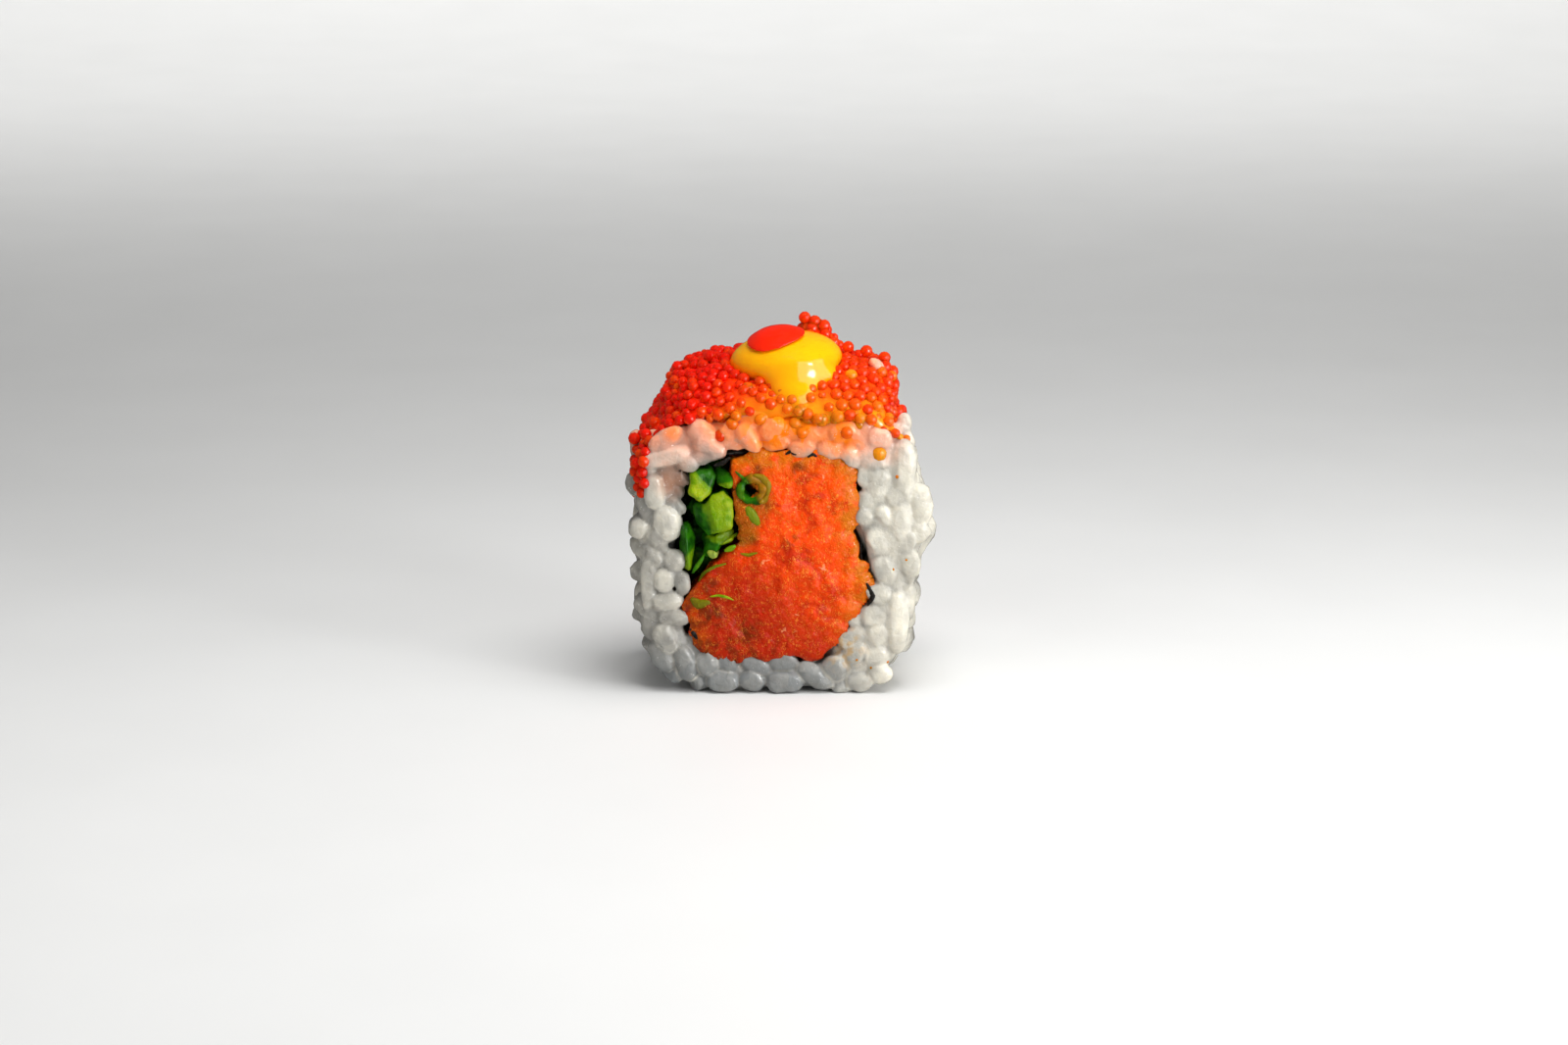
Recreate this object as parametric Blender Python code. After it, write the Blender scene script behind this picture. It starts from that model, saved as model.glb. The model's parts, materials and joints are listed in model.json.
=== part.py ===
"""One cut piece of an inside-out spicy tuna roll, topped with roe and a sauce dollop.

X runs along the width and Z up the height of the cut faces. The face that is seen
looks along -Y. All sizes below are in millimetres: make_object turns them into metres.
"""

import math
from dataclasses import dataclass

import bmesh
import bpy
from mathutils import Vector

MM = 0.001
TAU = math.tau

# The roll as it was cut: eight pieces from a roll of about 200 mm.
ROLL_LENGTH = 25.0
GAP = 0.35
NORI_THICKNESS = 0.4
SHEET_INSET = GAP + NORI_THICKNESS + GAP

# Rice ring.
RICE_SIDES = 84
RICE_END_ROUND = 2.6
RICE_LUMP = 0.42
RICE_CAP_SWELL = 0.45

# The flat underside: how many of the rice's sides it spans each way from the lowest
# point, how near the ends it comes, and how far the rice round it stands off the floor.
BASE_SPAN = 6
BASE_END = 1.4
BASE_RISE = 0.45

# Filling.
HOLE_WAVE = 0.2
FILLING_SIDES = 60
BUNDLE_SIDES = 30
TUBE_SIDES = 20
FILLING_SWELL = 0.7
FILLING_LUMP = 0.3
FACE_LUMP = 0.25

# Chopped spring onion, in front of the bundle that runs on through the roll.
ONION_FRONT = -12.5
BUNDLE_FRONT = -8.0
ONION_BACK = BUNDLE_FRONT - GAP
TUBE_CENTRE = (-3.5, 28.6)
TUBE_RADIUS = 1.85
TUBE_WALL = 0.6
TUBE_LENGTH = 5.6

# Roe heap: how thick it lies at some angles round the rice, and where its edges run.
ROE_STEPS = 36
ROE_LEFT_EDGE = 156.0
ROE_LEFT_RISE = 14.0
ROE_RIGHT_EDGE = 42.0
ROE_EDGE_WAVE = 2.4
ROE_DEPTHS = (
    (42, 1.0),
    (50, 3.6),
    (58, 6.1),
    (90, 6.2),
    (118, 5.8),
    (129, 3.8),
    (139, 2.5),
    (148, 2.1),
    (156, 0.9),
)
ROE_LEAST_DEPTH = 0.6
ROE_CREST_Y = 1.5
ROE_HALF_LENGTH = 14.2
ROE_FRONT = -12.0
ROE_BACK = 11.5
ROE_LUMP = 0.4
ROE_PEAK_ANGLE = 78.5
ROE_PEAK_Y = 6.5
ROE_PEAK_HEIGHT = 4.8
ROE_PEAK_SPREAD = (6.5, 2.8)

# Sauce dollop and the drop on it.
DOLLOP_CENTRE = (1.2, -2.0, 44.6)
DOLLOP_RADII = (7.9, 7.4, 4.2)
DOLLOP_FLAT = 0.72
DOLLOP_TILT = 5.0
DOLLOP_LIP_X = 1.5
DOLLOP_LIP_REACH = 0.26
DOLLOP_LIP_SPREAD = 0.45
DOLLOP_POLE = 0.14
DOLLOP_SIDES = 28
DROP_CENTRE = (-1.2, -2.3)
DROP_RADII = (4.1, 3.7)
DROP_THICKNESS = 0.7
DROP_EDGE = 0.15
DROP_SIDES = 24


@dataclass(frozen=True)
class Section:
    """A rounded, uneven outline in the XZ plane, read as a radius about its centre.

    squareness holds one power for each corner, from the upper right one on, and each
    bulge is an angle and a half width in degrees and a height.
    """

    centre: tuple
    right: float
    top: float
    left: float
    bottom: float
    squareness: tuple
    bulges: tuple = ()

    def radius(self, angle):
        """Distance from the centre to the outline in one direction."""
        cosine = math.cos(angle)
        sine = math.sin(angle)
        across = self.right if cosine >= 0 else self.left
        upward = self.top if sine >= 0 else self.bottom
        corner = (0 if cosine >= 0 else 1) if sine >= 0 else (2 if cosine < 0 else 3)
        power = self.squareness[corner]
        distance = (abs(cosine / across) ** power + abs(sine / upward) ** power) ** (-1 / power)
        for middle, half_width, height in self.bulges:
            distance += height * bump(turn_between(angle, math.radians(middle)), math.radians(half_width))
        return distance

    def holds(self, x, z, inset):
        """Whether a point lies inside the outline drawn in by a margin."""
        dx = x - self.centre[0]
        dz = z - self.centre[1]
        return math.hypot(dx, dz) < self.radius(math.atan2(dz, dx)) - inset


RICE = Section(
    centre=(0.0, 20.0),
    right=18.7,
    top=18.8,
    left=19.4,
    bottom=20.35,
    squareness=(4.6, 3.5, 3.8, 3.9),
    bulges=((9, 13, 2.0), (100, 14, 0.4), (170, 12, 0.4), (138, 10, 0.5), (-20, 12, 0.3), (-52, 10, -0.6)),
)
HOLE = Section(
    centre=(-0.3, 19.6),
    right=12.4,
    top=14.6,
    left=13.4,
    bottom=15.3,
    squareness=(4.4, 5.4, 3.5, 3.6),
    bulges=((24, 11, -1.6), (-20, 9, 1.2), (-48, 13, -0.9), (-150, 14, -0.5), (178, 14, 0.3)),
)

TUNA_CENTRE = (3.0, 17.0)
# The tuna's left edge beside the onion, from the top down.
TUNA_EDGE = (
    (-7.2, 33.6),
    (-5.9, 30.9),
    (-5.7, 27.0),
    (-5.4, 24.2),
    (-4.5, 22.2),
    (-4.6, 21.0),
    (-7.6, 18.9),
    (-10.8, 15.0),
    (-13.4, 12.0),
)
BUNDLE_CENTRE = (-8.9, 24.5)


@dataclass(frozen=True)
class Chop:
    """A chopped piece of onion: its outline's corners, and how far its cut end stands back."""

    corners: tuple
    set_back: float


CHOPS = {
    "onion_block": Chop(
        ((-11.8, 28.2), (-10.4, 27.2), (-9.3, 28.2), (-8.6, 30.4), (-9.2, 31.3), (-11.6, 30.8)), 0.1
    ),
    "onion_wedge": Chop(((-7.9, 29.3), (-6.3, 29.1), (-6.3, 30.3), (-8.2, 31.2)), 0.9),
    "onion_chunk": Chop(
        (
            (-9.3, 22.6),
            (-6.3, 23.4),
            (-6.2, 26.9),
            (-7.4, 28.3),
            (-8.8, 27.6),
            (-9.9, 26.4),
            (-11.3, 26.2),
            (-10.9, 23.8),
        ),
        0.0,
    ),
    "onion_side": Chop(
        (
            (-12.1, 17.6),
            (-11.3, 17.5),
            (-10.7, 21.0),
            (-11.0, 22.4),
            (-11.7, 23.6),
            (-12.4, 23.2),
            (-12.4, 20.5),
        ),
        0.7,
    ),
    "onion_curl": Chop(
        (
            (-9.7, 19.3),
            (-8.5, 19.5),
            (-7.9, 20.9),
            (-6.0, 21.7),
            (-6.3, 22.6),
            (-8.6, 22.1),
            (-9.9, 21.7),
        ),
        0.4,
    ),
}

WHITE_RICE = (0.72, 0.71, 0.64)
DARK_NORI = (0.012, 0.016, 0.01)
ORANGE_TUNA = (0.75, 0.12, 0.01)
GREEN_ONION = (0.09, 0.22, 0.012)
RED_ROE = (0.86, 0.08, 0.004)
YELLOW_SAUCE = (0.95, 0.42, 0.01)
RED_SAUCE = (0.86, 0.02, 0.001)


def turn_between(angle, other):
    """The smaller turn from one direction to another, signed."""
    return math.remainder(angle - other, TAU)


def bump(distance, spread):
    """A smooth hill of height one."""
    return math.exp(-((distance / spread) ** 2))


def lumps(angle, y, seed):
    """Smooth unevenness round and along the roll, between about -1 and 1."""
    total = 0.0
    for turns, pitch in ((5, 23.0), (10, 14.0), (17, 9.0)):
        phase = seed + turns * 1.7
        total += math.sin(turns * angle + TAU * y / pitch + phase)
        total += math.sin(turns * angle - TAU * y / (pitch * 0.8) + 2.3 * phase)
    return total / 4


def face_lumps(x, z, seed):
    """Smooth unevenness over a cut face, between about -1 and 1."""
    total = math.sin(0.9 * x + 0.5 * z + seed) + math.sin(0.6 * x - 1.1 * z + 2.0 * seed)
    total += math.sin(1.6 * x + 1.3 * z + 3.0 * seed) + math.sin(1.9 * z - 1.2 * x + seed)
    return total / 3


def between(table, at):
    """A value read from a table of (place, value) pairs, in straight lines between them."""
    if at <= table[0][0]:
        return table[0][1]
    for (low, first), (high, second) in zip(table, table[1:]):
        if at <= high:
            share = (at - low) / (high - low)
            return first + (second - first) * share
    return table[-1][1]


def end_inset(y):
    """How far the rice draws in where its two cut ends are rounded off."""
    past = RICE_END_ROUND - (ROLL_LENGTH / 2 - abs(y))
    if past <= 0:
        return 0.0
    return RICE_END_ROUND - math.sqrt(RICE_END_ROUND**2 - min(past, RICE_END_ROUND * 0.97) ** 2)


def rice_radius(angle, y):
    """The rice's outer radius in one direction at one place along the roll."""
    return RICE.radius(angle) + RICE_LUMP * lumps(angle, y, 0.4) - end_inset(y)


def hole_radius(angle, y):
    """The radius of the hole that the nori lines."""
    return HOLE.radius(angle) + HOLE_WAVE * math.sin(3 * angle + 0.16 * y)


def polar_point(centre, reach, angle, y):
    """A point at a distance and a direction from a centre, at one place along the roll."""
    return (centre[0] + reach * math.cos(angle), y, centre[1] + reach * math.sin(angle))


def ring_of(centre, radius, count, y):
    """Points round a centre at one place along the roll, by a radius for each angle."""
    angles = [TAU * step / count for step in range(count)]
    return [polar_point(centre, radius(angle), angle, y) for angle in angles]


def spaced(first, last, count):
    """Evenly spaced values, both ends included."""
    return [first + (last - first) * step / (count - 1) for step in range(count)]


def stations(front, back):
    """Places along the roll, closer together where its ends are rounded off."""
    return [front, front + 0.5, front + 1.4, *spaced(-8.4, 8.4, 7), back - 1.4, back - 0.5, back]


def reach_inside(centre, angle, inside, step=0.05):
    """How far one can go from a centre before leaving a region."""
    distance = step
    while inside(centre[0] + distance * math.cos(angle), centre[1] + distance * math.sin(angle)):
        distance += step
    return distance - step


def material(name, colour, roughness):
    """A plain surface in one colour."""
    result = bpy.data.materials.new(name)
    result.use_nodes = True
    shader = result.node_tree.nodes["Principled BSDF"]
    shader.inputs["Base Color"].default_value = (*colour, 1.0)
    shader.inputs["Roughness"].default_value = roughness
    shader.inputs["Metallic"].default_value = 0.0
    return result


def close_with_fan(shell, row):
    """Close an open end with triangles round a point in its middle."""
    middle = sum((corner.co for corner in row), Vector()) / len(row)
    tip = shell.verts.new(middle)
    for step, corner in enumerate(row):
        shell.faces.new((corner, row[(step + 1) % len(row)], tip))


def close_with_strip(shell, row):
    """Close a thin open end with a strip between the first and second half of its points."""
    last = len(row) - 1
    for step in range(len(row) // 2 - 1):
        shell.faces.new((row[step], row[step + 1], row[last - step - 1], row[last - step]))


def make_object(name, rings, finish, close=close_with_fan, origin=(0.0, 0.0, 0.0)):
    """A solid stretched over a row of rings, each with as many points as the next.

    The function in close shuts each end. Without one, the last ring meets the first.
    """
    mesh = bpy.data.meshes.new(name)
    shell = bmesh.new()
    start = Vector(origin)
    rows = [[shell.verts.new((Vector(point) - start) * MM) for point in ring] for ring in rings]
    pairs = list(zip(rows, rows[1:]))
    if close is None:
        pairs.append((rows[-1], rows[0]))
    for near, far in pairs:
        count = len(near)
        for step in range(count):
            following = (step + 1) % count
            shell.faces.new((near[step], near[following], far[following], far[step]))
    if close is not None:
        close(shell, rows[0])
        close(shell, rows[-1])
    bmesh.ops.triangulate(shell, faces=shell.faces[:])
    bmesh.ops.recalc_face_normals(shell, faces=shell.faces[:])
    shell.to_mesh(mesh)
    shell.free()
    mesh.shade_smooth()
    mesh.set_sharp_from_angle(angle=math.radians(50))
    mesh.materials.append(material(name + "_finish", *finish))
    result = bpy.data.objects.new(name, mesh)
    result.location = start * MM
    bpy.context.collection.objects.link(result)
    return result


def cut(target, cutter):
    """Take one solid out of another, and drop the cutter."""
    modifier = target.modifiers.new("cut", "BOOLEAN")
    modifier.operation = "DIFFERENCE"
    modifier.solver = "EXACT"
    modifier.object = cutter
    bpy.context.view_layer.update()
    seen = target.evaluated_get(bpy.context.evaluated_depsgraph_get())
    mesh = bpy.data.meshes.new_from_object(seen)
    target.modifiers.clear()
    target.data = mesh
    bpy.data.objects.remove(cutter)


def make_rice():
    """The rice ring, rounded at both cut ends and flat where it rests."""
    end = ROLL_LENGTH / 2 - RICE_CAP_SWELL

    def outer(y):
        ring = ring_of(RICE.centre, lambda angle: rice_radius(angle, y), RICE_SIDES, y)
        lowest = RICE_SIDES * 3 // 4
        on_base = abs(y) < end - BASE_END + GAP
        for step, (x, _, z) in enumerate(ring):
            if on_base and abs(step - lowest) <= BASE_SPAN:
                drop = RICE.centre[1] / math.tan(TAU * step / RICE_SIDES)
                ring[step] = (RICE.centre[0] - drop, y, 0.0)
            else:
                ring[step] = (x, y, max(z, BASE_RISE))
        return ring

    def inner(y):
        return ring_of(HOLE.centre, lambda angle: hole_radius(angle, y), RICE_SIDES, y)

    def cap(y, out):
        ring = []
        for step, (near, far) in enumerate(zip(outer(y), inner(y))):
            swell = RICE_CAP_SWELL * (1 + 0.9 * lumps(TAU * step / RICE_SIDES, y, 2.0))
            ring.append(((near[0] + far[0]) / 2, y + out * swell, (near[2] + far[2]) / 2))
        return ring

    rings = [outer(y) for y in stations(-end, end)]
    rings.append(cap(end, 1))
    rings += [inner(y) for y in spaced(end, -end, 3)]
    rings.append(cap(-end, -1))
    return make_object("rice", rings, (WHITE_RICE, 0.35), close=None)


def make_nori():
    """The thin sheet between the rice and the filling."""
    end = ROLL_LENGTH / 2 - RICE_CAP_SWELL

    def sheet(y, inset):
        return ring_of(HOLE.centre, lambda angle: hole_radius(angle, y) - inset, RICE_SIDES, y)

    rings = [sheet(y, GAP) for y in spaced(-end, end, 3)]
    rings += [sheet(y, GAP + NORI_THICKNESS) for y in spaced(end, -end, 3)]
    return make_object("nori", rings, (DARK_NORI, 0.5), close=None)


def tuna_edge_radius(angle):
    """How far the tuna reaches on its onion side, or None away from that side."""
    knots = []
    for x, z in TUNA_EDGE:
        dx = x - TUNA_CENTRE[0]
        dz = z - TUNA_CENTRE[1]
        knots.append((math.atan2(dz, dx) % TAU, math.hypot(dx, dz)))
    if not knots[0][0] <= angle % TAU <= knots[-1][0]:
        return None
    return between(knots, angle % TAU)


def in_filling(x, z):
    """Whether a point lies inside the nori, clear of it."""
    return HOLE.holds(x, z, SHEET_INSET + HOLE_WAVE)


def tuna_radius(angle):
    """The tuna's radius: up to the nori, or up to the onion."""
    reach = reach_inside(TUNA_CENTRE, angle, in_filling)
    edge = tuna_edge_radius(angle)
    return reach if edge is None else min(reach, edge)


def in_bundle(x, z):
    """Whether a point lies in the onion's share of the filling, clear of the tuna."""
    dx = x - TUNA_CENTRE[0]
    dz = z - TUNA_CENTRE[1]
    return in_filling(x, z) and math.hypot(dx, dz) > tuna_radius(math.atan2(dz, dx)) + GAP


def filling_rings(centre, radius, front, back, swell, count, seed):
    """Rings for a filling from one end to the other, with both ends swollen and lumpy."""
    reaches = [radius(TAU * step / count) for step in range(count)]

    def ring(y, share, out):
        points = []
        for step, reach in enumerate(reaches):
            angle = TAU * step / count
            drawn = (reach - FILLING_LUMP * (1 + lumps(angle, y, seed)) / 2) * share
            x = centre[0] + drawn * math.cos(angle)
            z = centre[1] + drawn * math.sin(angle)
            lift = swell * (1 - share**2) + FACE_LUMP * (1 - share**4) * face_lumps(x, z, seed)
            points.append((x, y + out * lift, z))
        return points

    shares = (0.3, 0.6, 0.85)
    rings = [ring(front, share, -1) for share in shares]
    rings += [ring(y, 1.0, 0) for y in spaced(front, back, 5)]
    rings += [ring(back, share, 1) for share in reversed(shares)]
    return rings


def make_tuna():
    """The minced tuna, which fills most of the nori and holds one onion tube."""
    end = ROLL_LENGTH / 2 - FILLING_SWELL
    rings = filling_rings(TUNA_CENTRE, tuna_radius, -end, end, FILLING_SWELL, FILLING_SIDES, 1.1)
    tuna = make_object("spicy_tuna", rings, (ORANGE_TUNA, 0.35))
    front = -ROLL_LENGTH
    bed = TUBE_RADIUS + GAP
    back = ONION_FRONT + TUBE_LENGTH + GAP
    rings = [ring_of(TUBE_CENTRE, lambda angle: bed, TUBE_SIDES, y) for y in (front, back)]
    cut(tuna, make_object("tube_bed", rings, (ORANGE_TUNA, 0.35)))
    return tuna


def make_bundle():
    """The heap of chopped onion that runs through behind the pieces in front."""

    def radius(angle):
        return reach_inside(BUNDLE_CENTRE, angle, in_bundle)

    back = ROLL_LENGTH / 2 - FILLING_SWELL
    rings = filling_rings(BUNDLE_CENTRE, radius, BUNDLE_FRONT, back, 0.0, BUNDLE_SIDES, 3.3)
    return make_object("onion_bundle", rings, (GREEN_ONION, 0.4))


def make_onion_pieces():
    """The separate chopped pieces that show at the front of the roll."""
    for name, chop in CHOPS.items():
        middle_x = sum(x for x, z in chop.corners) / len(chop.corners)
        middle_z = sum(z for x, z in chop.corners) / len(chop.corners)
        front = ONION_FRONT + chop.set_back
        rings = []
        for y, share in ((front, 0.84), (front + 0.35, 1.0), (ONION_BACK - 0.4, 0.96), (ONION_BACK, 0.8)):
            ring = []
            for x, z in chop.corners:
                ring.append((middle_x + (x - middle_x) * share, y, middle_z + (z - middle_z) * share))
            rings.append(ring)
        make_object(name, rings, (GREEN_ONION, 0.4), origin=(middle_x, front, middle_z))


def make_onion_tube():
    """The hollow slice of leaf that sits in the tuna."""
    back = ONION_FRONT + TUBE_LENGTH
    inside = TUBE_RADIUS - TUBE_WALL
    ends = ((ONION_FRONT, TUBE_RADIUS), (back, TUBE_RADIUS), (back, inside), (ONION_FRONT, inside))
    rings = [ring_of(TUBE_CENTRE, lambda angle, reach=reach: reach, TUBE_SIDES, y) for y, reach in ends]
    start = (TUBE_CENTRE[0], ONION_FRONT, TUBE_CENTRE[1])
    return make_object("onion_tube", rings, (GREEN_ONION, 0.4), close=None, origin=start)


def roe_depth(degrees, y):
    """How thick the roe lies at one angle round the rice and one place along it."""
    along = 1 - abs((y - ROE_CREST_Y) / ROE_HALF_LENGTH) ** 2.4
    depth = between(ROE_DEPTHS, degrees) * max(along, 0.12)
    peak = bump(degrees - ROE_PEAK_ANGLE, ROE_PEAK_SPREAD[0]) * bump(y - ROE_PEAK_Y, ROE_PEAK_SPREAD[1])
    depth += ROE_PEAK_HEIGHT * peak
    depth += ROE_LUMP * lumps(math.radians(3 * degrees), 2 * y, 5.0) * min(depth / 3, 1)
    return max(depth, ROE_LEAST_DEPTH)


def roe_left_edge(y):
    """The angle at which the roe ends on the left: lowest at the front."""
    share = max(y - ROE_FRONT, 0.0) / (ROE_BACK - ROE_FRONT)
    return ROE_LEFT_EDGE - ROE_LEFT_RISE * share**0.7 + ROE_EDGE_WAVE * math.sin(0.9 * y + 1.0)


def roe_right_edge(y):
    """The angle at which the roe ends on the right."""
    return ROE_RIGHT_EDGE + ROE_EDGE_WAVE * math.sin(0.7 * y)


def make_roe():
    """The heap of roe over the top, which hangs down over the left shoulder."""
    rings = []
    for share in spaced(0.0, 1.0, ROE_STEPS):
        wave = 0.5 * math.sin(19 * share) + 0.3 * math.sin(41 * share)
        over = []
        under = []
        for y in stations(ROE_FRONT + 0.3 + 0.4 * wave, ROE_BACK + 0.4 * wave):
            degrees = roe_right_edge(y) + share * (roe_left_edge(y) - roe_right_edge(y))
            angle = math.radians(degrees)
            bed = rice_radius(angle, y) + GAP
            over.append(polar_point(RICE.centre, bed + roe_depth(degrees, y), angle, y))
            under.append(polar_point(RICE.centre, bed, angle, y))
        rings.append(over + under[::-1])
    roe = make_object("roe", rings, (RED_ROE, 0.2), close=close_with_strip)
    cut(roe, make_dollop("dollop_bed", GAP))
    return roe


def dollop_point(polar, turn, grow):
    """A point of the dollop's skin, by the angle down from its top and the turn round it."""
    lip_turn = math.atan2(-DOLLOP_RADII[1], DOLLOP_LIP_X)
    lowness = 0.35 + max(0.0, -math.cos(polar))
    lip = bump(turn_between(turn, lip_turn), DOLLOP_LIP_SPREAD) * math.sin(polar) ** 2 * lowness
    lip = 1 + DOLLOP_LIP_REACH * lip
    x = (DOLLOP_RADII[0] + grow) * math.sin(polar) * math.cos(turn) * lip
    y = (DOLLOP_RADII[1] + grow) * math.sin(polar) * math.sin(turn) * lip
    z = (DOLLOP_RADII[2] + grow) * math.cos(polar)
    if z < 0:
        z *= DOLLOP_FLAT
    tilt = math.radians(DOLLOP_TILT)
    return (x * math.cos(tilt) - z * math.sin(tilt), y, x * math.sin(tilt) + z * math.cos(tilt))


def make_dollop(name, grow=0.0):
    """The rounded dollop of sauce, with a lip at the front where it runs down."""
    rings = []
    for polar in spaced(DOLLOP_POLE, math.pi - DOLLOP_POLE, 13):
        ring = []
        for step in range(DOLLOP_SIDES):
            x, y, z = dollop_point(polar, TAU * step / DOLLOP_SIDES, grow)
            ring.append((DOLLOP_CENTRE[0] + x, DOLLOP_CENTRE[1] + y, DOLLOP_CENTRE[2] + z))
        rings.append(ring)
    return make_object(name, rings, (YELLOW_SAUCE, 0.15), origin=DOLLOP_CENTRE)


def make_drop():
    """The flat drop of red sauce on the dollop's upper left."""

    def on_dollop(x, y, lift):
        across = (x / DOLLOP_RADII[0]) ** 2 + (y / DOLLOP_RADII[1]) ** 2
        rise = DOLLOP_RADII[2] * math.sqrt(1 - across)
        tilt = math.radians(DOLLOP_TILT)
        aside = x * math.cos(tilt) - rise * math.sin(tilt)
        height = x * math.sin(tilt) + rise * math.cos(tilt)
        return (DOLLOP_CENTRE[0] + aside, DOLLOP_CENTRE[1] + y, DOLLOP_CENTRE[2] + height + lift)

    def ring(share, lift):
        points = []
        for step in range(DROP_SIDES):
            turn = TAU * step / DROP_SIDES
            reach = share * (1 + 0.04 * math.sin(3 * turn + 1))
            x = DROP_CENTRE[0] + DROP_RADII[0] * reach * math.cos(turn)
            y = DROP_CENTRE[1] + DROP_RADII[1] * reach * math.sin(turn)
            points.append(on_dollop(x, y, lift))
        return points

    shares = (0.25, 0.6, 0.9, 1.0)
    rings = [ring(share, GAP + DROP_EDGE + DROP_THICKNESS * (1 - share**3)) for share in shares]
    rings += [ring(share, GAP) for share in reversed(shares)]
    start = (DOLLOP_CENTRE[0] + DROP_CENTRE[0], DOLLOP_CENTRE[1] + DROP_CENTRE[1], DOLLOP_CENTRE[2])
    return make_object("red_drop", rings, (RED_SAUCE, 0.15), origin=start)


def centre_on_base():
    """Shift the whole so that its box stands centred on the origin."""
    bpy.context.view_layer.update()
    parts = [part for part in bpy.data.objects if part.type == "MESH"]
    corners = [part.matrix_world @ vertex.co for part in parts for vertex in part.data.vertices]
    low = [min(corner[axis] for corner in corners) for axis in range(3)]
    high = [max(corner[axis] for corner in corners) for axis in range(3)]
    shift = Vector((-(low[0] + high[0]) / 2, -(low[1] + high[1]) / 2, -low[2]))
    for part in parts:
        part.location += shift


def main():
    """Clear the scene, make each piece and centre the whole."""
    for thing in list(bpy.data.objects):
        bpy.data.objects.remove(thing)
    make_rice()
    make_nori()
    make_tuna()
    make_bundle()
    make_onion_pieces()
    make_onion_tube()
    make_roe()
    make_dollop("sauce_dollop")
    make_drop()
    centre_on_base()


main()
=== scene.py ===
"""Looks of one cut piece of a spicy tuna roll: grains, roe, sauces, filling and the studio round it."""

from __future__ import annotations

import json
import logging
import math
from collections.abc import Callable
from dataclasses import dataclass
from enum import Enum

import bmesh
import bpy
import numpy as np
from mathutils import Matrix, Vector, noise
from mathutils.bvhtree import BVHTree

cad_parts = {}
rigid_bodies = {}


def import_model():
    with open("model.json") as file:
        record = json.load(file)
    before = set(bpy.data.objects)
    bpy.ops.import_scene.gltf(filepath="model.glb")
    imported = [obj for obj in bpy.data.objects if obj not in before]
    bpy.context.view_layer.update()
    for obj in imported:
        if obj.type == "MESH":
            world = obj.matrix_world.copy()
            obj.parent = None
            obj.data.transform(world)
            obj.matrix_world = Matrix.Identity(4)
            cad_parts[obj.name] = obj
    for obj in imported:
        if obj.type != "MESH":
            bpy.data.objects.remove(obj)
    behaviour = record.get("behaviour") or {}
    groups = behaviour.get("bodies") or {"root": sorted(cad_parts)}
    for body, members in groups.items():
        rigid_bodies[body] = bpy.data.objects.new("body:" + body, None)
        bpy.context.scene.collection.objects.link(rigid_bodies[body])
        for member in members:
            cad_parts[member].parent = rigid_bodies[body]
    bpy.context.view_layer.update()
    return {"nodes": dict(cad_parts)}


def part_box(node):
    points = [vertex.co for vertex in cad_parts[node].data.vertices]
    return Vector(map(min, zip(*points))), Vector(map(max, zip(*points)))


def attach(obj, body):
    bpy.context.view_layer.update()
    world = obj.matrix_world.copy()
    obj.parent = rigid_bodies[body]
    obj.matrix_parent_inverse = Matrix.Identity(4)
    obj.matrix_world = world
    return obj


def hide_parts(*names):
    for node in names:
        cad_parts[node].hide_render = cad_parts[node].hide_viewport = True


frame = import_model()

MM = 0.001
TAU = 2.0 * math.pi
BODY = "root"
LOG = logging.getLogger("roll_piece")

Colour = tuple[float, float, float]
Point = tuple[float, float, float]
Number = "Wire | float"


# ---------------------------------------------------------------- shader maths


class Wire:
    """A shader value: an output socket that takes part in Python arithmetic."""

    def __init__(self, graph: "Graph", socket: bpy.types.NodeSocket) -> None:
        """Wraps one socket of a graph."""
        self.graph = graph
        self.socket = socket

    def _math(self, operation: str, first: Number, second: Number) -> "Wire":
        """The Math node of that operation on the two values."""
        return self.graph.node("ShaderNodeMath", {"operation": operation}, {0: first, 1: second})

    def __add__(self, other: Number) -> "Wire":
        """Sum."""
        return self._math("ADD", self, other)

    def __radd__(self, other: Number) -> "Wire":
        """Sum, with this value on the right."""
        return self._math("ADD", other, self)

    def __sub__(self, other: Number) -> "Wire":
        """Difference."""
        return self._math("SUBTRACT", self, other)

    def __rsub__(self, other: Number) -> "Wire":
        """Difference, with this value on the right."""
        return self._math("SUBTRACT", other, self)

    def __mul__(self, other: Number) -> "Wire":
        """Product."""
        return self._math("MULTIPLY", self, other)

    def __rmul__(self, other: Number) -> "Wire":
        """Product, with this value on the right."""
        return self._math("MULTIPLY", other, self)

    def power(self, exponent: float) -> "Wire":
        """This value to a power."""
        return self._math("POWER", self, exponent)

    def step(self, low: float, high: float) -> "Wire":
        """A smooth step from 0 at low to 1 at high; low may be the larger."""
        return self.graph.node(
            "ShaderNodeMapRange",
            {"interpolation_type": "SMOOTHSTEP"},
            {"Value": self, "From Min": low, "From Max": high},
        )


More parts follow.
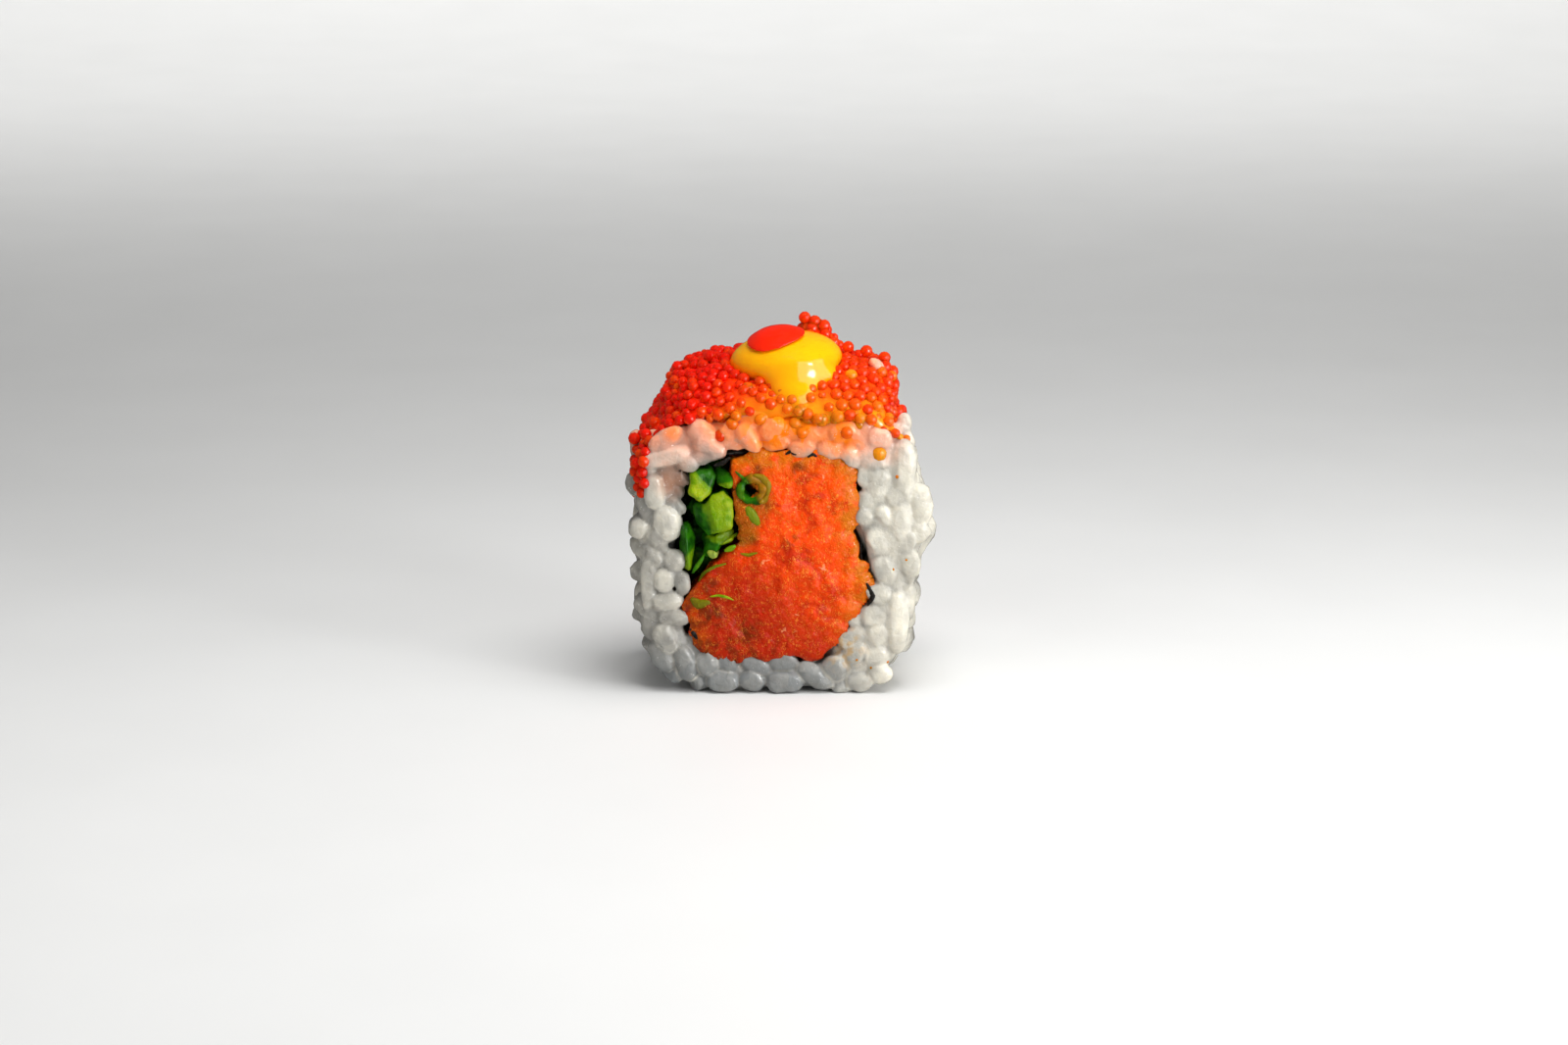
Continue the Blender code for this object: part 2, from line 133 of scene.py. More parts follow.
class Graph:
    """The node tree of one material, built by expressions."""

    def __init__(self, name: str) -> None:
        """Makes an empty material with its output node."""
        self.material = bpy.data.materials.new(name)
        self.material.use_nodes = True
        self.tree = self.material.node_tree
        self.tree.nodes.clear()
        self.output = self.tree.nodes.new("ShaderNodeOutputMaterial")

    def node(
        self,
        kind: str,
        settings: dict | None = None,
        values: dict | None = None,
        out: int | str = 0,
    ) -> Wire:
        """Adds one node.

        Args:
            kind: the node's type.
            settings: properties that are set first; "stops" are a ramp's (place, colour) pairs.
            values: numbers, colours or wires for its sockets, by name or index.
            out: the output that is handed back.

        Returns:
            That output as a wire.
        """
        made = self.tree.nodes.new(kind)
        for key, value in (settings or {}).items():
            if key == "stops":
                ramp = made.color_ramp
                while len(ramp.elements) < len(value):
                    ramp.elements.new(1.0)
                for element, (place, colour) in zip(ramp.elements, value):
                    element.position = place
                    element.color = (*colour, 1.0)
            else:
                setattr(made, key, value)
        for key, value in (values or {}).items():
            socket = made.inputs[key]
            if isinstance(value, Wire):
                self.tree.links.new(value.socket, socket)
            elif socket.type == "RGBA":
                socket.default_value = (*value, 1.0)
            else:
                socket.default_value = value
        return Wire(self, made.outputs[out])

    def place(self) -> Wire:
        """The Object coordinates."""
        return self.node("ShaderNodeTexCoord", out="Object")

    def axes(self, place: Wire) -> tuple[Wire, Wire, Wire]:
        """The three parts of a vector."""
        split = self.node("ShaderNodeSeparateXYZ", {}, {0: place})
        outputs = split.socket.node.outputs
        return Wire(self, outputs[0]), Wire(self, outputs[1]), Wire(self, outputs[2])

    def stretched(self, place: Wire, factors: Point, turn: Point = (0.0, 0.0, 0.0)) -> Wire:
        """The place turned, then scaled along its axes by factors."""
        return self.node(
            "ShaderNodeMapping", {}, {"Vector": place, "Rotation": turn, "Scale": factors}
        )

    def noise(self, place: Wire, size: float, detail: float = 2.0, warp: float = 0.0) -> Wire:
        """Noise between 0 and 1 with features of that size in millimetres."""
        return self.node(
            "ShaderNodeTexNoise",
            {},
            {"Vector": place, "Scale": 1.0 / (size * MM), "Detail": detail, "Distortion": warp},
        )

    def cells(self, place: Wire, size: float, feature: str = "F1") -> Wire:
        """Distance to the nearest of points scattered that many millimetres apart."""
        return self.node(
            "ShaderNodeTexVoronoi",
            {"feature": feature},
            {"Vector": place, "Scale": 1.0 / (size * MM)},
            out="Distance",
        )

    def warped(self, place: Wire, size: float, reach: float) -> Wire:
        """The place pushed about by noise of that size, as far as reach, both in millimetres."""
        push = self.node(
            "ShaderNodeTexNoise",
            {},
            {"Vector": place, "Scale": 1.0 / (size * MM), "Detail": 1.0},
            out="Color",
        )
        return self.node(
            "ShaderNodeVectorMath",
            {"operation": "MULTIPLY_ADD"},
            {0: push, 1: (2.0 * reach * MM,) * 3, 2: place},
            out="Vector",
        )

    def flakes(self, place: Wire, size: float) -> Wire:
        """A chance value of 0 to 1 for each of the cells of that size in millimetres."""
        return self.node(
            "ShaderNodeTexVoronoi", {}, {"Vector": place, "Scale": 1.0 / (size * MM)}, out="Color"
        )

    def painted(self, name: str) -> Wire:
        """A number that the mesh carries as an attribute."""
        return self.node("ShaderNodeAttribute", {"attribute_name": name}, out="Fac")

    def blend(self, factor: Number, first: Colour | Wire, second: Colour | Wire) -> Wire:
        """A mix of two colours."""
        return self.node(
            "ShaderNodeMix", {"data_type": "RGBA"}, {0: factor, 6: first, 7: second}, out=2
        )

    def ramp(self, value: Wire, stops: list[tuple[float, Colour]]) -> Wire:
        """A colour from a ramp."""
        return self.node("ShaderNodeValToRGB", {"stops": stops}, {0: value})

    def near(self, place: Wire, middle: Point, radius: float, soft: float) -> Wire:
        """1 within a ball round a point, 0 outside it, all in millimetres."""
        away = self.node(
            "ShaderNodeVectorMath",
            {"operation": "DISTANCE"},
            {0: place, 1: tuple(value * MM for value in middle)},
            out="Value",
        )
        return away.step((radius + soft) * MM, max(radius - soft, 0.0) * MM)

    def bump(self, height: Wire, depth: float, strength: float = 1.0, under: Wire | None = None) -> Wire:
        """A normal from a height of 0 to 1 that stands for so many millimetres."""
        values = {"Strength": strength, "Distance": depth * MM, "Height": height}
        if under is not None:
            values["Normal"] = under
        return self.node("ShaderNodeBump", {}, values)

    def surface(self, values: dict) -> bpy.types.Material:
        """Ends the graph in a Principled shader with those sockets."""
        shader = self.node("ShaderNodeBsdfPrincipled", {"subsurface_method": "RANDOM_WALK"}, values)
        self.tree.links.new(shader.socket, self.output.inputs["Surface"])
        return self.material


# ---------------------------------------------------------------- finishes


@dataclass(frozen=True)
class RiceFinish:
    """Moist cooked rice: milky, glossy, stained orange where roe and sauce touch it."""

    bright: Colour = (0.98, 0.97, 0.93)
    milky: Colour = (0.90, 0.86, 0.74)
    grey: Colour = (0.31, 0.30, 0.27)
    cool: Colour = (0.22, 0.235, 0.24)
    blush: Colour = (0.90, 0.34, 0.19)
    glow: Colour = (1.0, 0.23, 0.004)
    gold: Colour = (0.55, 0.33, 0.10)
    tawny: Colour = (0.46, 0.19, 0.09)

    def material(self) -> bpy.types.Material:
        """Builds it."""
        g = Graph("steamed_rice")
        at = g.place()
        x, y, z = g.axes(at)
        cloud = g.noise(at, 2.2, 2.0)
        frost = g.noise(at, 0.9, 3.0, 0.5)
        crumbly = g.noise(at, 3.0, 2.0).step(0.50, 0.66) + 0.15
        chance = g.flakes(g.warped(at, 1.6, 0.9), 2.3)
        shade = g.painted("shade")
        seam = g.painted("seam")
        rim = seam.step(0.15, 0.9)
        # Painted light: the right term in tone lightens the side that the key lamp lights; the grains there have
        # also run together.
        right = x.step(2.0 * MM, 15.0 * MM)
        foot = z.step(10.0 * MM, 2.0 * MM)
        top = z.step(29.0 * MM, 34.0 * MM)
        # Painted rim light lightens the seams between grains low down, painted shade darkens them near the top, and
        # painted shade darkens the gaps between grains.
        edges = rim * (0.07 + foot * 0.22 - right * 0.05 - top * 0.12) - g.painted("gap") * (0.60 - right * 0.35)
        tone = shade * (0.80 - right * 0.5) + (cloud - 0.5) * 0.8 + chance * 0.22 + edges + right * 0.62 - 0.43
        body = g.blend(tone, self.grey, self.milky)
        # Painted shade: low on the left and middle the grains are darkened to a cool grey, less at their rims.
        low = foot * x.step(15.0 * MM, 4.0 * MM)
        body = g.blend(low * (0.98 - rim * 0.45 - shade * 0.2 - chance * 0.3), body, self.cool)
        high = (z + (cloud - 0.5) * (4.0 * MM)).step(30.5 * MM, 37.0 * MM) * x.step(19.0 * MM, 13.0 * MM)
        middle = x.step(-9.0 * MM, -2.0 * MM) * x.step(14.0 * MM, 8.0 * MM)
        stain = g.blend(middle * (0.55 + chance * 0.7), self.blush, self.glow)
        body = g.blend(high * (0.54 + middle * 0.30 + chance * 0.35), body, stain)
        wash = g.near(at, (-14.3, -12.3, 36.7), 1.2, 0.9) + g.near(at, (-8.3, -12.4, 37.6), 1.8, 1.4)
        body = g.blend(wash * (0.35 + cloud * 0.6), body, self.glow)
        corner = g.near(at, (-14.4, -11.8, 29.9), 2.3, 1.5)
        body = g.blend(corner * (0.35 + cloud * 0.5), body, self.tawny)
        glint = g.cells(g.warped(at, 0.6, 0.3), 0.42).step(0.16, 0.08) * g.noise(at, 2.4, 2.0).step(0.48, 0.62)
        body = g.blend(glint * 0.7, body, self.bright)
        crumb = g.near(at, (9.0, -12.0, 6.4), 2.6, 1.8) * g.noise(at, 1.1, 2.0).step(0.42, 0.62)
        body = g.blend(crumb * 0.6, body, self.gold)
        return g.surface(
            {
                "Base Color": body,
                "Roughness": 0.10 + frost * 0.22,
                "Specular IOR Level": 0.5,
                "Coat Weight": 0.5,
                "Coat Roughness": 0.05,
                "Coat IOR": 1.4,
                "Subsurface Weight": 0.9,
                "Subsurface Radius": (1.0, 0.93, 0.82),
                "Subsurface Scale": 0.9 * MM,
                "IOR": 1.42,
                "Normal": g.bump(crumbly * g.noise(at, 0.35, 2.0), 0.10, 0.8, g.bump(frost, 0.24, 0.8)),
            }
        )


@dataclass(frozen=True)
class RoeFinish:
    """Wet fish eggs: clear skins over a red to orange inside, redder on the left."""

    dark: Colour = (0.78, 0.006, 0.001)
    red: Colour = (1.0, 0.014, 0.002)
    ruddy: Colour = (1.0, 0.058, 0.002)
    orange: Colour = (1.0, 0.150, 0.002)
    amber: Colour = (1.0, 0.36, 0.008)

    def material(self, name: str, clear: float, gather: float) -> bpy.types.Material:
        """Builds it.

        Args:
            name: the material's name.
            clear: how much light goes straight through.
            gather: how much painted light lightens an egg on the side that light leaves by, away from the lamps.

        Returns:
            The material.
        """
        g = Graph(name)
        at = g.place()
        x, y, z = g.axes(at)
        shade = g.painted("shade")
        drift = (g.noise(at, 4.0, 1.0) - 0.5) * (7.0 * MM)
        body = g.blend((x + drift).step(-10.0 * MM, 12.0 * MM), self.red, self.ruddy)
        front = y.step(-6.0 * MM, -11.0 * MM) * (x + drift).step(-11.0 * MM, -3.0 * MM)
        low = (z + drift * 0.5).step(43.0 * MM, 37.5 * MM)
        body = g.blend(front * (0.35 + low * 0.65), body, self.orange)
        body = g.blend(front * low.step(0.35, 0.9) * shade.step(0.2, 0.8) * 0.7, body, self.amber)
        sauce = g.near(at, (2.2, -9.0, 40.2), 3.4, 2.2)
        body = g.blend(sauce * (0.35 + shade * 0.5), body, self.amber)
        body = g.blend(shade.step(0.28, 0.0) * (0.55 - sauce * 0.4), body, self.dark)
        body = g.blend((shade - 0.6).step(0.0, 0.5) * 0.5, body, self.orange)
        body = g.blend((shade - 0.95).step(0.0, 0.04), body, self.amber)
        # Painted light: each egg is lighter orange on its side facing away from the lamps, where light through it
        # would leave.
        facing = g.node("ShaderNodeNewGeometry", out="Normal")
        away = g.node(
            "ShaderNodeVectorMath",
            {"operation": "DOT_PRODUCT"},
            {0: facing, 1: (-0.72, 0.30, -0.62)},
            out="Value",
        )
        body = g.blend(away.step(0.0, 0.95) * gather, body, self.orange)
        return g.surface(
            {
                "Base Color": body,
                "Roughness": 0.04 + g.noise(at, 0.6, 1.0) * 0.06,
                "Specular IOR Level": 0.85,
                "Subsurface Weight": 0.7,
                "Subsurface Radius": (1.0, 0.22, 0.06),
                "Subsurface Scale": 1.0 * MM,
                "IOR": 1.43,
                "Transmission Weight": clear,
                "Normal": g.bump(g.noise(at, 0.5, 1.0), 0.015, 0.3),
            }
        )


@dataclass(frozen=True)
class TunaFinish:
    """Minced tuna in chilli mayonnaise: wet, grainy, orange with red patches and golden edges."""

    flesh: Colour = (0.47, 0.020, 0.001)
    light: Colour = (0.93, 0.067, 0.001)
    deep: Colour = (0.50, 0.014, 0.001)
    golden: Colour = (0.66, 0.155, 0.003)
    brown: Colour = (0.12, 0.020, 0.002)
    pale: Colour = (1.0, 0.36, 0.04)
    pink: Colour = (1.0, 0.42, 0.20)
    olive: Colour = (0.24, 0.11, 0.003)

    def material(self) -> bpy.types.Material:
        """Builds it."""
        g = Graph("spicy_tuna_mince")
        at = g.place()
        x, y, z = g.axes(at)
        rim = g.painted("rim")
        big = g.noise(at, 5.5, 2.0, 0.6)
        lump = g.noise(at, 1.5, 3.0, 0.5)
        fine = g.noise(at, 0.36, 3.0, 0.3)
        # Painted light: lighter towards the upper right, where the lamps are, and darker low on the left.
        level = (z + x * 0.8 + (big - 0.5) * (17.0 * MM)).step(5.0 * MM, 27.0 * MM)
        body = g.blend(level, self.flesh, self.light)
        patch = g.noise(at, 2.6, 3.0, 0.4).step(0.50, 0.30)
        body = g.blend(patch * 0.8, body, self.deep)
        gilt = (rim * 1.5).step(0.0, 1.0) * ((z + x * 0.5).step(8.0 * MM, 22.0 * MM) + x.step(-8.0 * MM, -11.0 * MM) * 0.4)
        body = g.blend(gilt * lump.step(0.25, 0.55), body, self.golden)
        film = g.near(at, (-3.9, -12.5, 27.2), 3.0, 1.6) + g.near(at, (-4.9, -12.5, 22.6), 2.1, 1.2)
        body = g.blend(film.step(0.1, 0.9) * (0.25 + lump * 0.8), body, self.olive)
        shadow = (z + x * 0.8).step(14.0 * MM, 0.0) * g.noise(at, 1.9, 3.0, 0.8).step(0.54, 0.38)
        body = g.blend(shadow * 0.62, body, self.brown)
        bruise = g.near(at, (1.6, -12.5, 21.7), 1.0, 1.0) + g.near(at, (-4.5, -12.5, 8.5), 1.6, 1.3)
        bruise = bruise + g.near(at, (-9.3, -12.5, 15.3), 1.2, 1.0) + g.near(at, (-9.0, -12.5, 11.0), 1.6, 1.4)
        bruise = bruise + g.near(at, (-3.0, -12.5, 31.4), 0.9, 0.8) + g.near(at, (2.7, -12.5, 31.6), 1.0, 0.9)
        body = g.blend(bruise.step(0.05, 1.0) * lump.step(0.35, 0.6) * 0.75, body, self.brown)
        edge = rim.step(0.66, 0.98) * g.noise(at, 1.1, 2.0).step(0.38, 0.56)
        body = g.blend(edge * 0.85, body, self.brown)
        wander = g.noise(g.stretched(at, (1.0, 1.0, 0.5), (0.3, 0.9, 0.2)), 0.42, 1.0, 1.2) - 0.5
        thread = (wander * wander).step(0.0014, 0.0002) * g.noise(at, 0.7, 2.0).step(0.44, 0.58)
        grit = g.cells(g.warped(at, 0.5, 0.2), 0.34).step(0.26, 0.12) * g.noise(at, 1.4, 2.0).step(0.40, 0.58)
        bits = g.cells(g.stretched(g.warped(at, 0.8, 0.9), (1.0, 1.0, 1.7), (0.0, 0.6, 0.0)), 4.2)
        bits = bits.step(0.12, 0.06)
        # Partly painted glints: the pale threads and grit stand both for fibres and for tiny wet glints, stronger on
        # the lit upper right.
        flecks_and_glints = thread * 0.9 + grit * 0.6
        body = g.blend(flecks_and_glints.step(0.0, 1.0) * (0.42 + level * 0.32), body, self.pale)
        body = g.blend(bits * 0.5, body, self.pink)
        skin = g.bump(lump, 0.40, 0.9, g.bump(fine, 0.20, 1.0))
        return g.surface(
            {
                "Base Color": body,
                "Roughness": 0.10 + fine * 0.22,
                "Specular IOR Level": 0.3,
                "Coat Weight": 0.3,
                "Coat Roughness": 0.06,
                "Coat IOR": 1.38,
                "Subsurface Weight": 0.35,
                "Subsurface Radius": (1.0, 0.20, 0.04),
                "Subsurface Scale": 0.8 * MM,
                "IOR": 1.38,
                "Normal": g.bump(flecks_and_glints + bits, 0.08, 0.9, skin),
            }
        )


@dataclass(frozen=True)
class SauceFinish:
    """Smooth glossy sauce that deepens to a second colour low down and to the left."""

    name: str
    bright: Colour
    deep: Colour
    high: float
    low: float
    lean: float = 0.25

    def material(self) -> bpy.types.Material:
        """Builds it."""
        g = Graph(self.name)
        at = g.place()
        x, _, z = g.axes(at)
        swirl = g.noise(at, 4.0, 2.0, 0.4)
        level = z + x * self.lean + (swirl - 0.5) * (1.6 * MM)
        body = g.blend(level.step(self.low * MM, self.high * MM), self.deep, self.bright)
        speck = g.noise(at, 0.45, 1.0).step(0.74, 0.80)
        body = g.blend(speck * 0.35, body, self.deep)
        fine = g.noise(at, 0.8, 2.0)
        return g.surface(
            {
                "Base Color": body,
                "Roughness": 0.09 + fine * 0.08,
                "Specular IOR Level": 0.95,
                "Subsurface Weight": 0.5,
                "Subsurface Radius": (1.0, 0.55, 0.12),
                "Subsurface Scale": 1.6 * MM,
                "IOR": 1.40,
                "Normal": g.bump(g.noise(at, 2.6, 1.0), 0.10, 0.35, g.bump(fine, 0.015, 0.5)),
            }
        )


@dataclass(frozen=True)
class OnionFinish:
    """Spring onion: dark waxy skin, and yellow-green flesh where it is cut, with a painted lit middle and painted
    sparkles.
    """

    skin: Colour = (0.006, 0.060, 0.002)
    leaf: Colour = (0.022, 0.150, 0.002)
    flesh: Colour = (0.13, 0.26, 0.002)
    lit_middle_and_fibre: Colour = (0.30, 0.38, 0.006)
    white: Colour = (0.55, 0.62, 0.34)
    oily: Colour = (0.30, 0.13, 0.004)

    def material(self) -> bpy.types.Material:
        """Builds it."""
        g = Graph("chopped_spring_onion")
        at = g.place()
        cut = g.painted("cut")
        fibre = g.noise(g.stretched(at, (1.0, 1.0, 0.25), (0.4, 0.2, 0.5)), 0.30, 2.0, 0.4)
        cloud = g.noise(at, 1.6, 2.0, 0.4)
        pores_and_sparkles = g.cells(at, 0.26)
        body = g.blend(cloud.step(0.35, 0.65), self.skin, self.leaf)
        body = g.blend(cut.step(0.12, 0.42), body, self.flesh)
        # Painted light: a yellow middle where the cut values carry the lit side.
        body = g.blend(cut.step(0.45, 0.95) * cloud.step(0.30, 0.56), body, self.lit_middle_and_fibre)
        body = g.blend(cut.step(1.1, 1.5), body, self.white)
        body = g.blend(fibre.step(0.56, 0.72) * cut.step(0.0, 0.3) * 0.3, body, self.lit_middle_and_fibre)
        # Painted sparkles: white specks in the pores of the cut flesh.
        body = g.blend(pores_and_sparkles.step(0.16, 0.06) * cut.step(0.1, 0.5) * 0.5, body, self.white)
        body = g.blend(g.painted("film"), body, self.oily)
        return g.surface(
            {
                "Base Color": body,
                "Roughness": 0.20 + cloud * 0.22,
                "Specular IOR Level": 0.4,
                "Subsurface Weight": 0.3,
                "Subsurface Radius": (0.5, 1.0, 0.15),
                "Subsurface Scale": 0.9 * MM,
                "IOR": 1.33,
                "Normal": g.bump(pores_and_sparkles, 0.05, 0.6, g.bump(fibre, 0.10, 0.9)),
            }
        )


@dataclass(frozen=True)
class NoriFinish:
    """Damp dried seaweed: green-black, finely crinkled, with a low sheen."""

    black: Colour = (0.006, 0.006, 0.004)
    green: Colour = (0.016, 0.012, 0.009)

    def material(self) -> bpy.types.Material:
        """Builds it."""
        g = Graph("damp_nori")
        at = g.place()
        crinkle = g.noise(at, 0.7, 3.0, 0.8)
        fine = g.noise(at, 0.22, 2.0)
        body = g.blend(crinkle.step(0.40, 0.65), self.black, self.green)
        return g.surface(
            {
                "Base Color": body,
                "Roughness": 0.34 + fine * 0.30,
                "Specular IOR Level": 0.3,
                "Normal": g.bump(crinkle, 0.30, 0.9, g.bump(fine, 0.06, 0.7)),
            }
        )


@dataclass(frozen=True)
class FloorFinish:
    """A plain pale studio floor, faintly uneven."""

    tone: Colour = (0.74, 0.74, 0.73)

    def material(self) -> bpy.types.Material:
        """Builds it."""
        g = Graph("studio_floor")
        at = g.place()
        grain = g.noise(at, 30.0, 3.0)
        body = g.blend(grain, self.tone, tuple(value * 1.04 for value in self.tone))
        return g.surface({"Base Color": body, "Roughness": 0.55 + grain * 0.1})


# ---------------------------------------------------------------- meshes


class CadSolid:
    """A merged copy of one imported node, to measure from and to build on."""

    def __init__(self, node: str) -> None:
        """Copies the node's mesh and merges its loose triangles."""
        self.shape = bmesh.new()
        self.shape.from_mesh(frame["nodes"][node].data)
        bmesh.ops.remove_doubles(self.shape, verts=self.shape.verts, dist=1e-3 * MM)
        self.shape.normal_update()
        self.tree = BVHTree.FromBMesh(self.shape)
        self.low, self.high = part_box(node)

    def depth(self, point: Vector) -> tuple[float, Vector]:
        """How far inside the solid a point is, below 0 outside it, and the way out."""
        place, normal, _, away = self.tree.find_nearest(point)
        return (away if (point - place).dot(normal) < 0.0 else -away), normal

    def holds(self, point: Vector) -> bool:
        """Whether a point is in the solid, by how often a ray from it crosses the surface."""
        crossings = 0
        spot, ahead = point.copy(), Vector((0.0113, 0.0171, 1.0)).normalized()
        while crossings < 64:
            hit = self.tree.ray_cast(spot, ahead)[0]
            if hit is None:
                break
            crossings += 1
            spot = hit + ahead * (0.002 * MM)
        return crossings % 2 == 1

    def mesh(self, name: str) -> bpy.types.Mesh:
        """The merged copy as a mesh."""
        made = bpy.data.meshes.new(name)
        self.shape.to_mesh(made)
        return made

    def inside(self, count: int, margin: float, rng: np.random.Generator) -> np.ndarray:
        """Random points in the solid.

        Args:
            count: how many.
            margin: how far from its surface they stay, in metres.
            rng: the source of the random numbers.

        Returns:
            Their places, one row each.
        """
        found: list[Vector] = []
        while len(found) < count:
            point = Vector(rng.uniform(self.low, self.high))
            if self.holds(point) and self.depth(point)[0] > margin:
                found.append(point)
        return np.array(found)


def points_of(mesh: bpy.types.Mesh) -> np.ndarray:
    """The places of a mesh's vertices, one row each."""
    places = np.empty(len(mesh.vertices) * 3, np.float32)
    mesh.vertices.foreach_get("co", places)
    return places.reshape(-1, 3).astype(float)


def normals_of(mesh: bpy.types.Mesh) -> np.ndarray:
    """The normals at a mesh's vertices, one row each."""
    facing = np.empty(len(mesh.vertices) * 3, np.float32)
    mesh.vertex_normals.foreach_get("vector", facing)
    return facing.reshape(-1, 3).astype(float)


def set_points(mesh: bpy.types.Mesh, places: np.ndarray) -> None:
    """Moves a mesh's vertices to new places."""
    mesh.vertices.foreach_set("co", places.astype(np.float32).ravel())
    mesh.update()


def paint(mesh: bpy.types.Mesh, name: str, values: np.ndarray, kind: str = "FLOAT") -> None:
    """Writes one number or vector for each vertex as an attribute."""
    layer = mesh.attributes.new(name, kind, "POINT")
    layer.data.foreach_set("vector" if kind == "FLOAT_VECTOR" else "value", np.ravel(values))


def evaluated(piece: bpy.types.Object) -> bpy.types.Mesh:
    """A plain mesh of an object with its modifiers applied; the object goes."""
    bpy.context.scene.collection.objects.link(piece)
    graph = bpy.context.evaluated_depsgraph_get()
    mesh = bpy.data.meshes.new_from_object(piece.evaluated_get(graph), depsgraph=graph)
    bpy.data.objects.remove(piece)
    return mesh


def remeshed(mesh: bpy.types.Mesh, voxel: float) -> bpy.types.Mesh:
    """The mesh rebuilt as one closed skin of even faces of that size in millimetres."""
    piece = bpy.data.objects.new("remesh", mesh)
    modifier = piece.modifiers.new("skin", "REMESH")
    modifier.mode = "VOXEL"
    modifier.voxel_size = voxel * MM
    return evaluated(piece)


def thinned(mesh: bpy.types.Mesh, triangles: int) -> bpy.types.Mesh:
    """The mesh with its flatter faces joined until about that many triangles are left."""
    mesh.calc_loop_triangles()
    piece = bpy.data.objects.new("thin", mesh)
    modifier = piece.modifiers.new("fewer", "DECIMATE")
    modifier.ratio = min(triangles / len(mesh.loop_triangles), 1.0)
    return evaluated(piece)


def smoothed(
    mesh: bpy.types.Mesh, rounds: int, share: float = 0.5, where: np.ndarray | None = None
) -> None:
    """Draws vertices towards their neighbours' middle.

    Args:
        mesh: the mesh.
        rounds: how many times.
        share: how far each time.
        where: which vertices move; all of them without it.
    """
    shape = bmesh.new()
    shape.from_mesh(mesh)
    shape.verts.ensure_lookup_table()
    chosen = list(shape.verts) if where is None else [shape.verts[index] for index in np.flatnonzero(where)]
    for _ in range(rounds):
        bmesh.ops.smooth_vert(
            shape, verts=chosen, factor=share, use_axis_x=True, use_axis_y=True, use_axis_z=True
        )
    shape.to_mesh(mesh)
    shape.free()


def noise_at(places: np.ndarray, size: float, octaves: int, shift: float) -> np.ndarray:
    """Smooth noise of about -1 to 1 at each place, with features of size millimetres."""
    scaled = places / (size * MM) + shift
    return np.array([noise.fractal(Vector(p), 1.0, 2.0, octaves) for p in scaled])


def finished(
    name: str, mesh: bpy.types.Mesh, material: bpy.types.Material, slot: str, *nodes: str
) -> bpy.types.Object:
    """Makes a mesh a piece of the model.

    Args:
        name: the piece's name.
        mesh: its mesh, in place.
        material: its finish.
        slot: the record's material slot that it belongs to; not used.
        nodes: the CAD nodes that it stands for.

    Returns:
        The piece.
    """
    mesh.materials.clear()
    mesh.materials.append(material)
    mesh.polygons.foreach_set("use_smooth", [True] * len(mesh.polygons))
    mesh.name = name
    piece = bpy.data.objects.new(name, mesh)
    bpy.context.scene.collection.objects.link(piece)
    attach(piece, BODY)
    if nodes:
        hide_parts(*nodes)
    mesh.calc_loop_triangles()
    LOG.info("%s: %d triangles", name, len(mesh.loop_triangles))
    return piece


Field = Callable[[np.ndarray], np.ndarray]


def even(value: float) -> Field:
    """The same value everywhere."""
    return lambda places: np.full(len(places), value)


def shell_inside(solid: CadSolid, name: str, voxel: float, sink: Field, share: Field) -> bpy.types.Mesh:
    """A smaller copy of a solid, sunk under its surface but nowhere turned inside out.

    The side towards the roll's middle gives way where the other side sinks deep.

    Args:
        solid: the solid.
        name: the new mesh's name.
        voxel: the size of its faces, in millimetres.
        sink: how far each place is sunk, in millimetres.
        share: the most of the local thickness that each place may sink.

    Returns:
        The mesh.
    """
    mesh = remeshed(solid.mesh(name), voxel)
    places, facing = points_of(mesh), normals_of(mesh)
    depths, shares = sink(places) * MM, share(places)
    inner = (facing * (places - np.array([0.0, 0.0, 20.0 * MM]))).sum(1) < 0.0
    shares = np.where(inner, np.minimum(shares, 0.95 - shares), shares)
    moved = places.copy()
    for index, (place, normal) in enumerate(zip(places, facing)):
        inward = Vector(-normal)
        hit = solid.tree.ray_cast(Vector(place) + inward * (0.1 * MM), inward)
        thick = hit[3] if hit[0] is not None else 0.0
        moved[index] = place - normal * min(depths[index], shares[index] * thick)
    set_points(mesh, moved)
    smoothed(mesh, 2)
    return mesh


class Side(Enum):
    """The side from which something is laid on the piece: the way it comes in."""

    FRONT = (0.0, 1.0, 0.0)
    BACK = (0.0, -1.0, 0.0)
    LEFT = (1.0, 0.0, 0.0)
    RIGHT = (-1.0, 0.0, 0.0)

    def start(self, across: float, up: float) -> Vector:
        """A point well outside, from millimetres across the side and up it."""
        ahead = Vector(self.value)
        over = Vector((across, 0.0, up)) if ahead.y else Vector((0.0, across, up))
        return over * MM - ahead * (60.0 * MM)


class Skin:
    """The outside of finished pieces, to lay small things on."""

    def __init__(self, *names: str) -> None:
        """Reads the pieces of those names."""
        self.trees = []
        for name in names:
            mesh = bpy.data.objects[name].data
            faces = [tuple(polygon.vertices) for polygon in mesh.polygons]
            self.trees.append(BVHTree.FromPolygons(points_of(mesh).tolist(), faces))

    def touch(self, side: Side, across: float, up: float) -> Vector | None:
        """Where something that comes in from a side lands, or None if it misses."""
        start, ahead = side.start(across, up), Vector(side.value)
        hits = [tree.ray_cast(start, ahead) for tree in self.trees]
        near = [hit for hit in hits if hit[0] is not None]
        return min(near, key=lambda hit: hit[3])[0] if near else None


